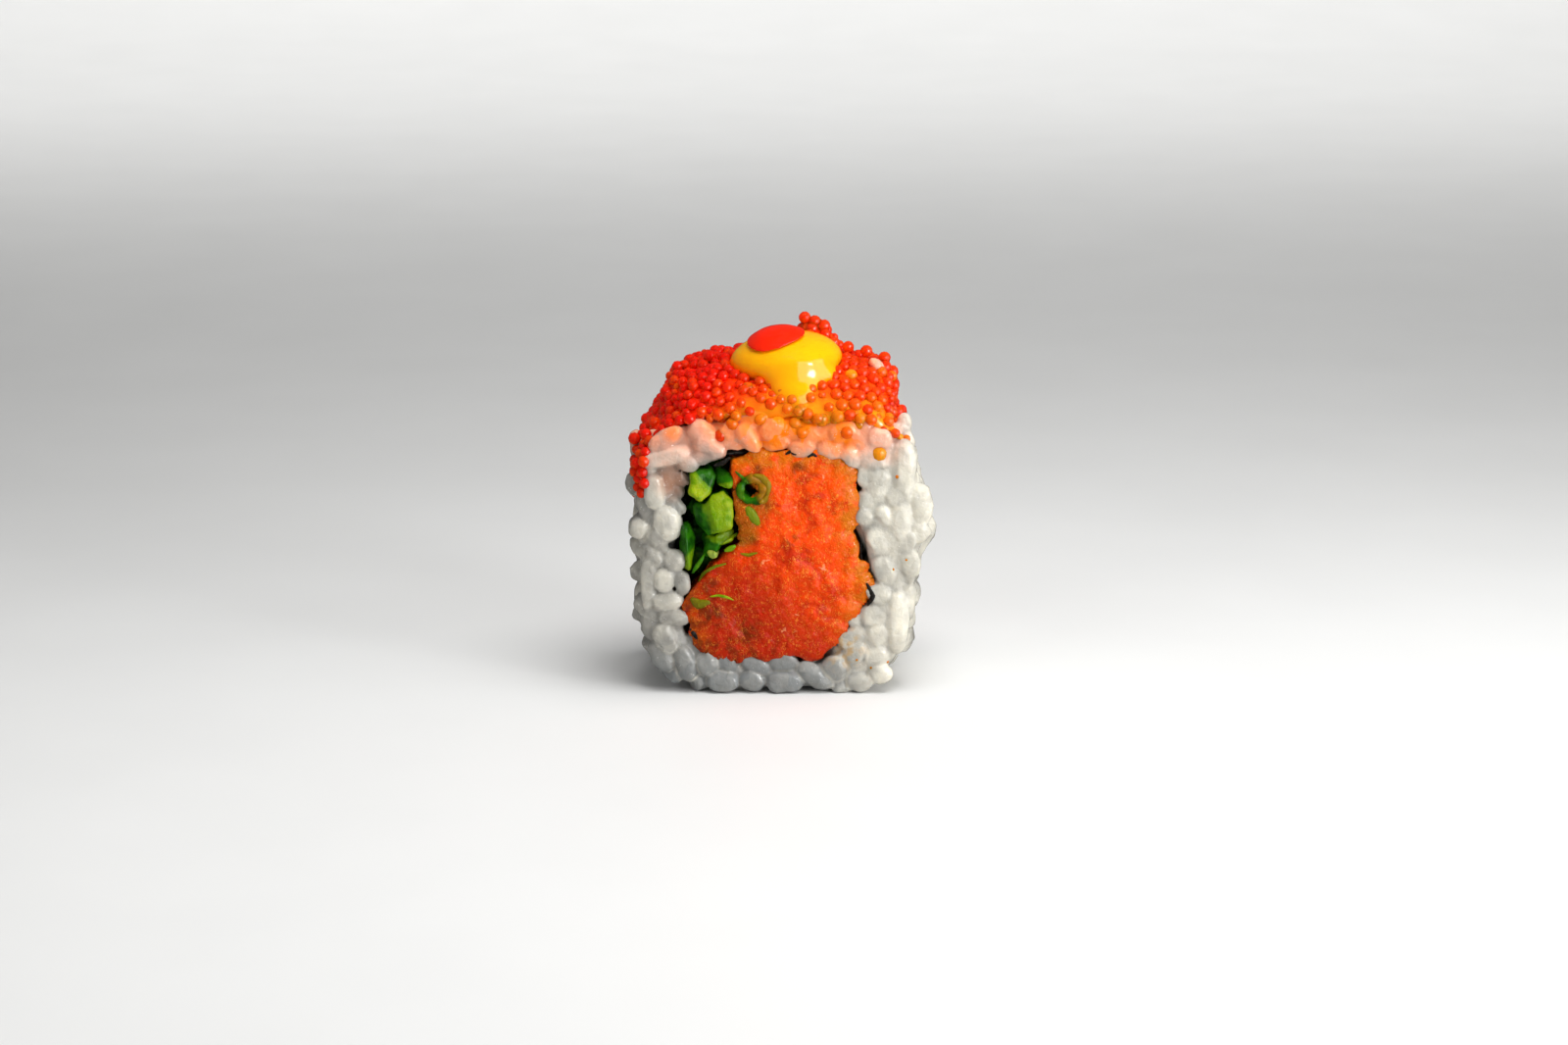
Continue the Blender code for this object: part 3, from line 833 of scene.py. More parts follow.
@dataclass(frozen=True)
class Ribbon:
    """A thin strip laid on a cut face along a line of (x, z) points. Lengths in millimetres."""

    line: tuple[tuple[float, float], ...]
    width: float
    tone: float
    lift: float = 0.12
    blunt: float = 0.25
    film: float = 0.0
    side: Side = Side.FRONT
    rings: int = 11

    def at(self, share: float) -> Vector:
        """The point of the line at a share of its length, as (x, z)."""
        spot = share * (len(self.line) - 1)
        index = min(int(spot), len(self.line) - 2)
        return Vector(self.line[index]).lerp(Vector(self.line[index + 1]), spot - index)

    def add(self, shape: bmesh.types.BMesh, skin: Skin) -> int:
        """Adds the strip to a mesh.

        Args:
            shape: the mesh.
            skin: what the strip lies on.

        Returns:
            How many vertices it has.
        """
        ahead = Vector(self.side.value)
        rows = []
        height = None
        for ring in range(self.rings):
            share = ring / (self.rings - 1)
            spot = self.at(share)
            along = self.at(min(share + 0.08, 1.0)) - self.at(max(share - 0.08, 0.0))
            over = Vector((-along.y, along.x)).normalized()
            half = 0.5 * self.width * max(self.blunt, math.sin(math.pi * (0.06 + 0.88 * share))) ** 0.7
            hit = self.skin_height(skin, spot)
            height = hit if height is None else (0.55 * height + 0.45 * hit if hit is not None else height)
            if height is None:
                height = 12.6 * MM * -ahead.y
            row = []
            for side, rise in ((-1.0, 0.25), (-0.5, 0.85), (0.5, 1.0), (1.0, 0.3), (0.6, -1.6), (-0.6, -1.6)):
                flat = spot + over * (half * side)
                out = self.lift * rise * MM
                row.append(shape.verts.new((flat.x * MM, height - ahead.y * out, flat.y * MM)))
            rows.append(row)
        for near, far in zip(rows, rows[1:]):
            for index in range(len(near)):
                after = (index + 1) % len(near)
                shape.faces.new((near[index], near[after], far[after], far[index]))
        shape.faces.new(rows[0][::-1])
        shape.faces.new(rows[-1])
        return sum(len(row) for row in rows)

    def skin_height(self, skin: Skin, spot: Vector) -> float | None:
        """How far out along y the skin is at (x, z), or None where there is none."""
        hit = skin.touch(self.side, spot.x, spot.y)
        return hit.y if hit is not None and abs(hit.y) > 9.0 * MM else None


def ribbons(name: str, strips: tuple[Ribbon, ...], skin: Skin) -> bpy.types.Mesh:
    """Strips as one mesh, each vertex with its strip's tone and film.

    Args:
        name: the mesh's name.
        strips: the strips.
        skin: what they lie on.

    Returns:
        The mesh.
    """
    shape = bmesh.new()
    tones: list[float] = []
    films: list[float] = []
    for strip in strips:
        count = strip.add(shape, skin)
        tones += [strip.tone] * count
        films += [strip.film] * count
    bmesh.ops.recalc_face_normals(shape, faces=shape.faces)
    mesh = bpy.data.meshes.new(name)
    shape.to_mesh(mesh)
    shape.free()
    paint(mesh, "cut", np.array(tones))
    paint(mesh, "film", np.array(films))
    return mesh


# ---------------------------------------------------------------- packing and scattering


@dataclass
class Packing:
    """Rods with round ends, or balls, pushed apart inside a solid until they lie together.

    Room says how far a rod may stand out of the solid at a spot where the way out is a normal.
    The first rods, as many as are fixed, stay where they are.
    """

    solid: CadSolid
    places: np.ndarray
    axes: np.ndarray
    halves: np.ndarray
    radii: np.ndarray
    room: Callable[[Vector, Vector], float]
    fixed: int = 0

    def settle(self, rounds: int) -> None:
        """Moves the rods.

        Args:
            rounds: how many times all overlaps are pushed apart.
        """
        count = len(self.places)
        steps = np.array([-1.0, 0.0, 1.0]) if self.halves.max() > 0.0 else np.array([0.0])
        beads = len(steps)
        owner = np.repeat(np.arange(count), beads)
        reach = np.repeat(self.radii, beads)
        own = owner[:, None] == owner[None, :]
        for turn in range(rounds):
            arms = self.halves[:, None, None] * self.axes[:, None, :] * steps[None, :, None]
            spots = (self.places[:, None, :] + arms).reshape(-1, 3)
            square = (spots**2).sum(1)
            apart = square[:, None] + square[None, :] - 2.0 * spots @ spots.T
            limit = (reach[:, None] + reach[None, :]) ** 2
            first, second = np.nonzero((apart < limit) & ~own)
            away = spots[first] - spots[second]
            length = np.maximum(np.sqrt((away**2).sum(1)), 1e-7)
            overlap = reach[first] + reach[second] - length
            push = np.zeros_like(spots)
            np.add.at(push, first, away / length[:, None] * (0.5 * overlap)[:, None])
            for index, spot in enumerate(spots):
                depth, normal = self.solid.depth(Vector(spot))
                short = reach[index] - self.room(Vector(spot), normal) - depth
                if short > 0.0:
                    push[index] -= np.array(normal) * short
            push = push.reshape(count, beads, 3)
            push[: self.fixed] = 0.0
            pace = 0.6 if turn < rounds * 0.7 else 0.35
            self.places += push.mean(1) * pace
            if beads > 1:
                swing = (push * steps[None, :, None]).sum(1) / 2.0
                self.axes += pace * swing / self.halves[:, None]
                self.axes /= np.linalg.norm(self.axes, axis=1)[:, None]

    def nearest(self, spots: np.ndarray, grown: np.ndarray) -> tuple[np.ndarray, np.ndarray, np.ndarray]:
        """Finds the rod that each spot lies on.

        Args:
            spots: the spots, one row each.
            grown: how much larger each rod is than it was packed.

        Returns:
            The number of the nearest rod, how close the spot is to the seam with the next one,
            from 0 to 1 on the seam, and how deep it lies in a gap between rods, from 0 to 1.
        """
        found, seams, gaps = [], [], []
        for start in range(0, len(spots), 4000):
            off = spots[start : start + 4000, None, :] - self.places[None, :, :]
            along = np.einsum("ijk,jk->ij", off, self.axes)
            along = np.clip(along, -self.halves * grown, self.halves * grown)
            off -= along[:, :, None] * self.axes[None, :, :]
            away = np.sqrt((off**2).sum(2)) - self.radii * grown
            two = np.partition(away, 1, axis=1)[:, :2]
            found.append(away.argmin(1))
            seams.append(np.clip(1.0 - (two[:, 1] - two[:, 0]) / (0.6 * MM), 0.0, 1.0))
            gaps.append(np.clip(0.25 + two[:, 0] / (0.4 * MM), 0.0, 1.0))
        return np.concatenate(found), np.concatenate(seams), np.concatenate(gaps)

    def kept(self) -> np.ndarray:
        """Which rods have ended up in the solid or against its surface."""
        return np.array(
            [
                self.solid.holds(Vector(place))
                or -self.solid.depth(Vector(place))[0] < 0.6 * radius
                for place, radius in zip(self.places, self.radii)
            ]
        )


@dataclass
class Scatter:
    """Many copies of a few shapes, set on points by a Geometry Nodes tree."""

    name: str
    kinds: list[bpy.types.Mesh]
    finish: bpy.types.Material
    scale: float = 1.0
    jitter: float = 0.03
    seed: int = 5

    def tree(self) -> bpy.types.GeometryNodeTree:
        """The node tree, with its inputs in the order in which they are set."""
        tree = bpy.data.node_groups.new(self.name + "_tree", "GeometryNodeTree")
        tree.interface.new_socket("Geometry", in_out="INPUT", socket_type="NodeSocketGeometry")
        for label, kind in (
            ("Kinds", "NodeSocketCollection"),
            ("Finish", "NodeSocketMaterial"),
            ("Scale", "NodeSocketFloat"),
            ("Smallest", "NodeSocketFloat"),
            ("Largest", "NodeSocketFloat"),
            ("Seed", "NodeSocketInt"),
        ):
            tree.interface.new_socket(label, in_out="INPUT", socket_type=kind)
        tree.interface.new_socket("Geometry", in_out="OUTPUT", socket_type="NodeSocketGeometry")

        def add(kind: str, settings: dict, values: dict) -> bpy.types.Node:
            """One node with its settings and its sockets' values or links."""
            made = tree.nodes.new(kind)
            for key, value in settings.items():
                setattr(made, key, value)
            for key, value in values.items():
                if isinstance(value, bpy.types.NodeSocket):
                    tree.links.new(value, made.inputs[key])
                else:
                    made.inputs[key].default_value = value
            return made

        given = tree.nodes.new("NodeGroupInput").outputs
        named = "GeometryNodeInputNamedAttribute"
        turn = add(named, {"data_type": "FLOAT_VECTOR"}, {"Name": "turn"})
        size = add(named, {"data_type": "FLOAT_VECTOR"}, {"Name": "size"})
        kind = add(named, {"data_type": "INT"}, {"Name": "kind"})
        shapes = add(
            "GeometryNodeCollectionInfo",
            {},
            {"Collection": given["Kinds"], "Separate Children": True, "Reset Children": True},
        )
        spin = add("FunctionNodeEulerToRotation", {}, {0: turn.outputs[0]})
        chance = add(
            "FunctionNodeRandomValue",
            {"data_type": "FLOAT"},
            {2: given["Smallest"], 3: given["Largest"], "Seed": given["Seed"]},
        )
        grown = add("ShaderNodeVectorMath", {"operation": "SCALE"}, {0: size.outputs[0], "Scale": given["Scale"]})
        varied = add(
            "ShaderNodeVectorMath", {"operation": "SCALE"}, {0: grown.outputs[0], "Scale": chance.outputs[1]}
        )
        copies = add(
            "GeometryNodeInstanceOnPoints",
            {},
            {
                "Points": given["Geometry"],
                "Instance": shapes.outputs[0],
                "Pick Instance": True,
                "Instance Index": kind.outputs[0],
                "Rotation": spin.outputs[0],
                "Scale": varied.outputs[0],
            },
        )
        real = add("GeometryNodeRealizeInstances", {}, {"Geometry": copies.outputs[0]})
        dressed = add(
            "GeometryNodeSetMaterial", {}, {"Geometry": real.outputs[0], "Material": given["Finish"]}
        )
        end = tree.nodes.new("NodeGroupOutput")
        tree.links.new(dressed.outputs[0], end.inputs[0])
        return tree

    def mesh(
        self,
        places: np.ndarray,
        turns: np.ndarray,
        sizes: np.ndarray,
        shades: np.ndarray,
        choices: np.ndarray,
    ) -> bpy.types.Mesh:
        """Sets the copies.

        Args:
            places: where each copy is, in metres.
            turns: its Euler angles.
            sizes: its scale along its own axes.
            shades: a number that the finish reads.
            choices: which of the shapes it is.

        Returns:
            All copies as one plain mesh.
        """
        points = bpy.data.meshes.new(self.name + "_points")
        points.from_pydata([tuple(place) for place in places], [], [])
        paint(points, "turn", turns, "FLOAT_VECTOR")
        paint(points, "size", sizes, "FLOAT_VECTOR")
        paint(points, "shade", shades)
        paint(points, "kind", choices.astype(np.int32), "INT")
        shapes = bpy.data.collections.new(self.name + "_kinds")
        for index, kind in enumerate(self.kinds):
            shapes.objects.link(bpy.data.objects.new(f"{self.name}_kind_{index:02d}", kind))
        holder = bpy.data.objects.new(self.name + "_holder", points)
        modifier = holder.modifiers.new("scatter", "NODES")
        tree = self.tree()
        modifier.node_group = tree
        values = {
            "Kinds": shapes,
            "Finish": self.finish,
            "Scale": self.scale,
            "Smallest": 1.0 - self.jitter,
            "Largest": 1.0 + self.jitter,
            "Seed": self.seed,
        }
        for item in tree.interface.items_tree:
            if item.in_out == "INPUT" and item.name in values:
                modifier[item.identifier] = values[item.name]
        mesh = evaluated(holder)
        for shape in list(shapes.objects):
            bpy.data.objects.remove(shape)
        bpy.data.collections.remove(shapes)
        return mesh


def turns_along(axes: np.ndarray, rng: np.random.Generator) -> np.ndarray:
    """Euler angles that lay a shape's X axis along each axis, rolled by chance."""
    angles = []
    for axis in axes:
        lie = Vector(axis).to_track_quat("X", "Z").to_matrix()
        roll = Matrix.Rotation(rng.uniform(0.0, TAU), 3, "X")
        angles.append((lie @ roll).to_euler())
    return np.array(angles)


def random_axes(count: int, rng: np.random.Generator) -> np.ndarray:
    """Directions spread evenly over the sphere."""
    axes = rng.normal(size=(count, 3))
    return axes / np.linalg.norm(axes, axis=1)[:, None]


# ---------------------------------------------------------------- rice


class Grain(Enum):
    """How a cooked grain ends up."""

    WHOLE = "whole"
    BENT = "bent"
    BLUNT = "blunt"
    CUT = "cut"


@dataclass(frozen=True)
class GrainShape:
    """One kind of grain, one unit long, wide and thick."""

    kind: Grain
    seed: float
    sides: int = 12
    rings: int = 7
    lumpiness: float = 0.24

    def radius(self, along: float) -> float:
        """The half width at a place from -1 to 1 along the grain."""
        blunt = {Grain.WHOLE: 2.7, Grain.BENT: 2.6, Grain.BLUNT: 3.6, Grain.CUT: 3.2}[self.kind]
        return 0.5 * (1.0 - abs(along) ** blunt) ** 0.55 * (1.0 - 0.07 * along)

    def mesh(self) -> bpy.types.Mesh:
        """The grain's mesh, closed at both ends."""
        shape = bmesh.new()
        end = 0.55 if self.kind is Grain.CUT else 0.985
        rings = []
        for ring in range(self.rings):
            along = -math.cos(math.pi * (0.07 + 0.86 * ring / (self.rings - 1)))
            along = min(along, end)
            radius = self.radius(along)
            lift = 0.16 * (1.0 - along * along) if self.kind is Grain.BENT else 0.0
            row = []
            for side in range(self.sides):
                angle = TAU * side / self.sides
                flat = 1.0 + 0.06 * math.cos(4.0 * angle)
                spot = Vector((along * 1.5, math.cos(angle), math.sin(angle)))
                bumpy = 1.0 + self.lumpiness * noise.noise(spot * 1.3 + Vector((self.seed, 0, 0)))
                reach = radius * flat * bumpy
                row.append(
                    shape.verts.new(
                        (along * 0.5, reach * math.cos(angle), reach * math.sin(angle) + lift)
                    )
                )
            rings.append(row)
        for near, far in zip(rings, rings[1:]):
            for side in range(self.sides):
                after = (side + 1) % self.sides
                shape.faces.new((near[side], far[side], far[after], near[after]))
        for row, tip, backwards in ((rings[0], -0.5, True), (rings[-1], 0.5, False)):
            top = min(tip, end * 0.5 + 0.02)
            lift = 0.5 * (row[0].co.z + row[self.sides // 2].co.z)
            point = shape.verts.new((top, 0.0, lift))
            for side in range(self.sides):
                after = (side + 1) % self.sides
                pair = (row[side], row[after]) if not backwards else (row[after], row[side])
                shape.faces.new((*pair, point))
        bmesh.ops.recalc_face_normals(shape, faces=shape.faces)
        made = bpy.data.meshes.new("grain")
        shape.to_mesh(made)
        shape.free()
        return made


@dataclass(frozen=True)
class SeenGrain:
    """A grain that shows at the front: its middle line in (x, z), its width, shade and set-back."""

    start: tuple[float, float]
    end: tuple[float, float]
    width: float
    shade: float
    back: float = 0.0

    def axis(self) -> Vector:
        """The way it lies."""
        over = Vector(self.end) - Vector(self.start)
        return Vector((over.x, 0.0, over.y)).normalized()

    def length(self) -> float:
        """Its whole length, with both round ends."""
        return (Vector(self.end) - Vector(self.start)).length + 0.9

    def middle(self, cut_face: float) -> Vector:
        """Its middle, in metres, where its front stands a little out of the cut face."""
        flat = 0.5 * (Vector(self.start) + Vector(self.end))
        return Vector((flat.x, 0.5 * self.width + self.back - cut_face - 0.3, flat.y)) * MM


@dataclass
class RiceWall:
    """The sticky rice round the filling: plump grains over a sunk core. Lengths in millimetres."""

    seen: tuple[SeenGrain, ...] = (
        SeenGrain((-17.6, 32.7), (-13.0, 33.6), 2.3, 0.95),
        SeenGrain((-16.8, 34.4), (-14.0, 36.4), 2.6, 0.50, 0.3),
        SeenGrain((-13.0, 32.6), (-11.6, 31.9), 2.2, 0.60),
        SeenGrain((-10.9, 33.1), (-8.6, 33.9), 2.2, 0.55, 0.3),
        SeenGrain((-16.2, 30.9), (-12.8, 29.7), 2.2, 0.20, 1.2),
        SeenGrain((-17.0, 29.8), (-16.8, 26.6), 2.4, 0.90),
        SeenGrain((-15.4, 25.7), (-14.9, 22.2), 3.2, 1.00, -0.15),
        SeenGrain((-14.7, 26.8), (-13.3, 25.7), 1.9, 0.35, 0.7),
        SeenGrain((-15.0, 28.6), (-13.6, 27.8), 2.2, 0.05, 1.5),
        SeenGrain((-18.5, 27.2), (-17.3, 24.0), 2.3, 0.35, 0.9),
        SeenGrain((-17.0, 22.6), (-16.0, 20.2), 2.6, 0.60, 0.4),
        SeenGrain((-15.0, 19.0), (-13.4, 18.3), 2.7, 0.75),
        SeenGrain((-17.8, 18.2), (-17.9, 12.6), 2.3, 0.60, 0.3),
        SeenGrain((-15.7, 17.0), (-15.7, 14.9), 2.8, 1.00, -0.1),
        SeenGrain((-13.2, 16.4), (-13.0, 14.6), 2.1, 0.40, 0.1),
        SeenGrain((-16.6, 12.8), (-13.9, 13.1), 2.4, 0.85, 0.1),
        SeenGrain((-15.9, 10.8), (-12.9, 10.5), 2.6, 0.55, 0.3),
        SeenGrain((-16.2, 9.2), (-14.8, 6.3), 3.0, 0.70, 0.1),
        SeenGrain((-17.9, 10.7), (-17.6, 8.1), 2.3, 0.15, 1.0),
        SeenGrain((-17.0, 6.4), (-15.4, 3.6), 3.0, 0.35, 0.5),
        SeenGrain((-13.3, 6.0), (-12.3, 2.4), 2.8, 0.40, 0.1),
        SeenGrain((-12.0, 7.5), (-11.4, 5.6), 2.2, 0.15, 1.1),
        SeenGrain((-10.6, 3.8), (-9.2, 4.5), 2.8, 0.65),
        SeenGrain((-9.8, 6.0), (-8.9, 6.2), 2.0, 0.50, 0.8),
        SeenGrain((-7.7, 5.2), (-6.4, 3.4), 2.6, 0.30, 0.6),
        SeenGrain((-9.0, 1.6), (-6.3, 1.45), 2.8, 0.45, 0.1),
        SeenGrain((-4.4, 4.4), (-2.0, 3.6), 2.4, 0.30, 0.4),
        SeenGrain((-4.6, 2.0), (-2.7, 1.4), 2.6, 0.40, 0.15),
        SeenGrain((-0.8, 1.45), (2.5, 1.45), 2.9, 0.50, -0.1),
        SeenGrain((-0.6, 4.3), (1.8, 4.3), 2.2, 0.25, 0.6),
        SeenGrain((3.5, 3.5), (6.6, 1.35), 2.5, 0.55),
        SeenGrain((6.9, 4.1), (8.3, 2.4), 3.2, 0.60, 0.1),
        SeenGrain((9.9, 1.4), (12.3, 1.4), 2.8, 0.55, 0.2),
        SeenGrain((13.0, 2.8), (15.0, 2.5), 2.8, 0.80, 0.1),
        SeenGrain((12.3, 5.1), (14.5, 5.0), 2.7, 0.70, 0.3),
        SeenGrain((16.4, 13.4), (16.4, 6.9), 3.0, 1.00, -0.1),
        SeenGrain((8.9, 7.3), (11.4, 8.5), 2.4, 0.60, 0.5),
        SeenGrain((17.1, 34.2), (17.0, 28.7), 3.1, 0.95),
        SeenGrain((19.1, 28.3), (19.3, 24.2), 3.1, 0.90, 0.5),
        SeenGrain((18.7, 22.9), (19.7, 21.9), 2.8, 0.80, 0.6),
        SeenGrain((13.9, 25.7), (14.8, 24.1), 2.2, 0.70, 0.2),
        SeenGrain((16.6, 26.2), (16.3, 21.9), 2.9, 0.90),
        SeenGrain((13.0, 22.5), (14.2, 20.2), 2.8, 0.75, 0.2),
        SeenGrain((13.8, 18.6), (15.2, 16.0), 2.8, 0.60, 0.1),
        SeenGrain((17.6, 19.8), (18.2, 17.0), 2.8, 0.85, 0.2),
        SeenGrain((17.5, 14.7), (17.3, 10.8), 2.5, 0.80, 0.8),
        SeenGrain((11.1, 25.0), (12.2, 24.4), 2.2, 0.35, 0.3),
        SeenGrain((14.0, 31.0), (13.0, 27.7), 3.3, 0.90, 0.2),
        SeenGrain((-11.4, 37.2), (-9.1, 35.4), 3.0, 0.80, 0.3),
        SeenGrain((-10.6, 35.1), (-8.0, 33.7), 2.6, 0.75, 0.1),
        SeenGrain((-5.0, 36.8), (-3.2, 34.5), 2.5, 0.85, -0.15),
        SeenGrain((-1.4, 34.8), (0.7, 35.2), 2.3, 0.30, 0.6),
        SeenGrain((-1.8, 36.4), (0.0, 37.8), 2.4, 0.90),
        SeenGrain((2.1, 34.2), (4.2, 34.5), 2.4, 0.70, 0.3),
        SeenGrain((5.8, 33.9), (8.4, 33.9), 2.4, 0.80, 0.3),
        SeenGrain((9.2, 34.0), (10.4, 32.2), 2.8, 0.85, 0.2),
        SeenGrain((12.8, 35.7), (14.6, 35.6), 2.5, 0.90, 0.3),
        SeenGrain((-6.9, 36.1), (-6.1, 37.2), 2.6, 0.60, 0.4),
        SeenGrain((-7.0, 35.3), (-5.1, 34.9), 1.9, 0.50, 0.5),
        SeenGrain((2.9, 36.3), (5.0, 36.0), 2.6, 0.70, 0.5),
        SeenGrain((7.5, 36.3), (10.0, 36.6), 2.8, 0.80, 0.4),
        SeenGrain((-19.5, 35.0), (-19.4, 32.6), 2.2, 0.40, 5.2),
        SeenGrain((-19.6, 29.3), (-19.6, 27.6), 2.5, 0.30, 4.5),
        SeenGrain((17.1, 38.0), (17.3, 36.6), 1.7, 0.50, 3.2),
        SeenGrain((17.3, 35.6), (17.6, 33.8), 2.1, 0.60, 2.4),
        SeenGrain((11.9, 31.6), (11.7, 29.4), 2.2, 0.80, 0.6),
        SeenGrain((10.8, 11.4), (10.3, 9.8), 2.1, 0.60, 0.9),
    )
    grains: int = 390
    length: tuple[float, float] = (4.8, 6.8)
    width: tuple[float, float] = (2.95, 3.5)
    flatness: tuple[float, float] = (0.76, 0.96)
    rounds: int = 110
    proud: float = 0.2
    inner: float = 0.55
    lip: float = 0.45
    voxel: float = 0.22
    triangles: int = 192000
    cut_face: float = 12.6
    seed: int = 21

    def build(self) -> None:
        """Makes the grains and the core."""
        solid = CadSolid("rice")
        rng = np.random.default_rng(self.seed)
        shown = len(self.seen)
        count = shown + self.grains
        width = rng.uniform(*self.width, count) * MM
        length = rng.uniform(*self.length, count) * MM
        width[:shown] = [grain.width * MM for grain in self.seen]
        length[:shown] = [grain.length() * MM for grain in self.seen]
        pack = Packing(
            solid,
            np.concatenate(
                [[grain.middle(self.cut_face) for grain in self.seen], solid.inside(self.grains, 0.8 * MM, rng)]
            ),
            np.concatenate([[grain.axis() for grain in self.seen], random_axes(self.grains, rng)]),
            np.maximum(length - width, 0.1 * MM) / 2.0,
            width / 2.0,
            self.room,
            shown,
        )
        pack.settle(self.rounds)
        stuck = self.stuck(pack)
        kinds = [
            GrainShape(kind, seed).mesh()
            for kind, seed in (
                (Grain.WHOLE, 1.3),
                (Grain.WHOLE, 4.1),
                (Grain.WHOLE, 6.6),
                (Grain.BENT, 2.7),
                (Grain.BLUNT, 7.9),
                (Grain.BLUNT, 9.4),
                (Grain.CUT, 5.2),
            )
        ]
        choices = rng.choice(len(kinds), count, p=(0.2, 0.18, 0.14, 0.14, 0.12, 0.12, 0.1))
        choices[:shown] = rng.choice((0, 1, 2, 4, 5), shown)
        plump = 1.12 + 0.09 * np.clip(pack.places[:, 0] / (12.0 * MM), -1.0, 1.0)
        plump[:shown] = 1.2
        sizes = np.stack([length * 1.05, width, width * rng.uniform(*self.flatness, count)], axis=1)
        sizes[stuck] *= 0.55
        finish = RiceFinish().material()
        shades = rng.uniform(0.3, 0.9, count)
        shades[:shown] = [grain.shade for grain in self.seen]
        mesh = Scatter("rice_grains", kinds, finish).mesh(
            pack.places, turns_along(pack.axes, rng), sizes * plump[:, None], np.arange(count), choices
        )
        self.press(mesh, pack.places, rng)
        shape = bmesh.new()
        shape.from_mesh(mesh)
        shape.from_mesh(shell_inside(solid, "rice_core", 0.9, self.core_sink, even(0.38)))
        joined = bpy.data.meshes.new("rice_joined")
        shape.to_mesh(joined)
        shape.free()
        mesh = remeshed(joined, self.voxel)
        smoothed(mesh, 1)
        mesh = thinned(mesh, self.triangles)
        places = points_of(mesh)
        places[:, 2] = np.maximum(places[:, 2], 0.0)
        set_points(mesh, places)
        # The seam and gap values carry the rice finish's painted rim light and painted shade.
        nearest, seam, gap = pack.nearest(places, plump)
        paint(mesh, "shade", shades[nearest])
        paint(mesh, "seam", seam)
        paint(mesh, "gap", gap)
        finished("rice_grains", mesh, finish, "rice", "rice")
        self.build_loose()

    def stuck(self, pack: Packing) -> np.ndarray:
        """Which grains are held with an end far out of the rice, so that they have to be smaller."""
        ends = np.stack([pack.places + side * pack.halves[:, None] * pack.axes for side in (-1.0, 1.0)], axis=1)
        depth = np.array([[pack.solid.depth(Vector(end))[0] for end in pair] for pair in ends]).min(axis=1)
        out = depth < 0.15 * pack.radii
        out[: pack.fixed] = False
        return out

    def build_loose(self) -> None:
        """Makes the one grain that lies among the roe."""
        mesh = GrainShape(Grain.WHOLE, 4.1).mesh()
        lie = Vector((0.6, 0.0, -0.8)).to_track_quat("X", "Z").to_matrix().to_4x4()
        size = Matrix.Diagonal((3.3 * MM, 1.7 * MM, 1.6 * MM, 1.0))
        mesh.transform(Matrix.Translation(Vector((13.6, -3.6, 43.9)) * MM) @ lie @ size)
        paint(mesh, "shade", np.full(len(mesh.vertices), 0.3))
        paint(mesh, "seam", np.zeros(len(mesh.vertices)))
        paint(mesh, "gap", np.zeros(len(mesh.vertices)))
        finished("loose_rice_grain", mesh, bpy.data.materials["steamed_rice"], "rice")

    def core_sink(self, places: np.ndarray) -> np.ndarray:
        """How far the core is sunk: less on the right, where the grains have run together."""
        return 0.52 - 0.2 * np.clip(places[:, 0] / (12.0 * MM), -1.0, 1.0)

    def room(self, spot: Vector, normal: Vector) -> float:
        """How far a grain may stand out: more towards the filling and behind the roe's drape."""
        x, z = spot.x / MM, spot.z / MM
        if x * normal.x + (z - 20.0) * normal.z < 0.0 and abs(normal.y) < 0.7:
            mouth = min(max((abs(spot.y) / MM - 7.5) / 3.5, 0.0), 1.0)
            notch = 0.9 * math.exp(-((x + 6.3) ** 2 + (z - 33.0) ** 2) / 5.0)
            beside = 0.75 if x < -9.0 and 14.0 < z < 31.0 else 0.6 if x > 8.0 and 7.0 < z < 31.0 else 0.0
            return (self.inner + self.lip * mouth) * (1.0 - max(notch, beside)) * MM
        if x < -15.0 and 26.5 < z < 36.5 and spot.y > -9.0 * MM:
            return 1.9 * MM
        return self.proud * MM

    def press(self, mesh: bpy.types.Mesh, middles: np.ndarray, rng: np.random.Generator) -> None:
        """Flattens the grains against the plate and, each to its own depth, at the knife's cuts.

        Args:
            mesh: the grains, with each grain's number in their shade.
            middles: where the grains are.
            rng: the source of the random numbers.
        """
        places = points_of(mesh)
        number = np.empty(len(places), np.float32)
        mesh.attributes["shade"].data.foreach_get("value", number)
        number = number.astype(int)
        rough = 0.35 + 0.6 * np.clip((6.0 * MM - middles[:, 0]) / (14.0 * MM), 0.0, 1.0)
        behind = self.cut_face - rough * rng.uniform(0.0, 1.0, len(middles))
        ahead = behind - 0.12
        ahead[: len(self.seen)] = [self.cut_face + 0.12 - grain.back for grain in self.seen]
        limit = np.where(places[:, 1] < 0.0, ahead[number], behind[number]) * MM
        over = np.abs(places[:, 1]) - limit
        squeezed = limit + 0.12 * np.maximum(over, 0.0)
        places[:, 1] = np.where(over > 0.0, np.sign(places[:, 1]) * squeezed, places[:, 1])
        places[:, 2] = np.maximum(places[:, 2], 0.0)
        set_points(mesh, places)


# ---------------------------------------------------------------- roe


def pearl_mesh(seed: float, squash: float) -> bpy.types.Mesh:
    """One roe egg, one unit across, very slightly out of round."""
    shape = bmesh.new()
    bmesh.ops.create_icosphere(shape, subdivisions=2, radius=0.5)
    for vert in shape.verts:
        bulge = 1.0 + 0.03 * noise.noise(vert.co * 3.0 + Vector((seed, seed, 0.0)))
        vert.co *= bulge
        vert.co.z *= squash
    made = bpy.data.meshes.new("pearl")
    shape.to_mesh(made)
    shape.free()
    return made


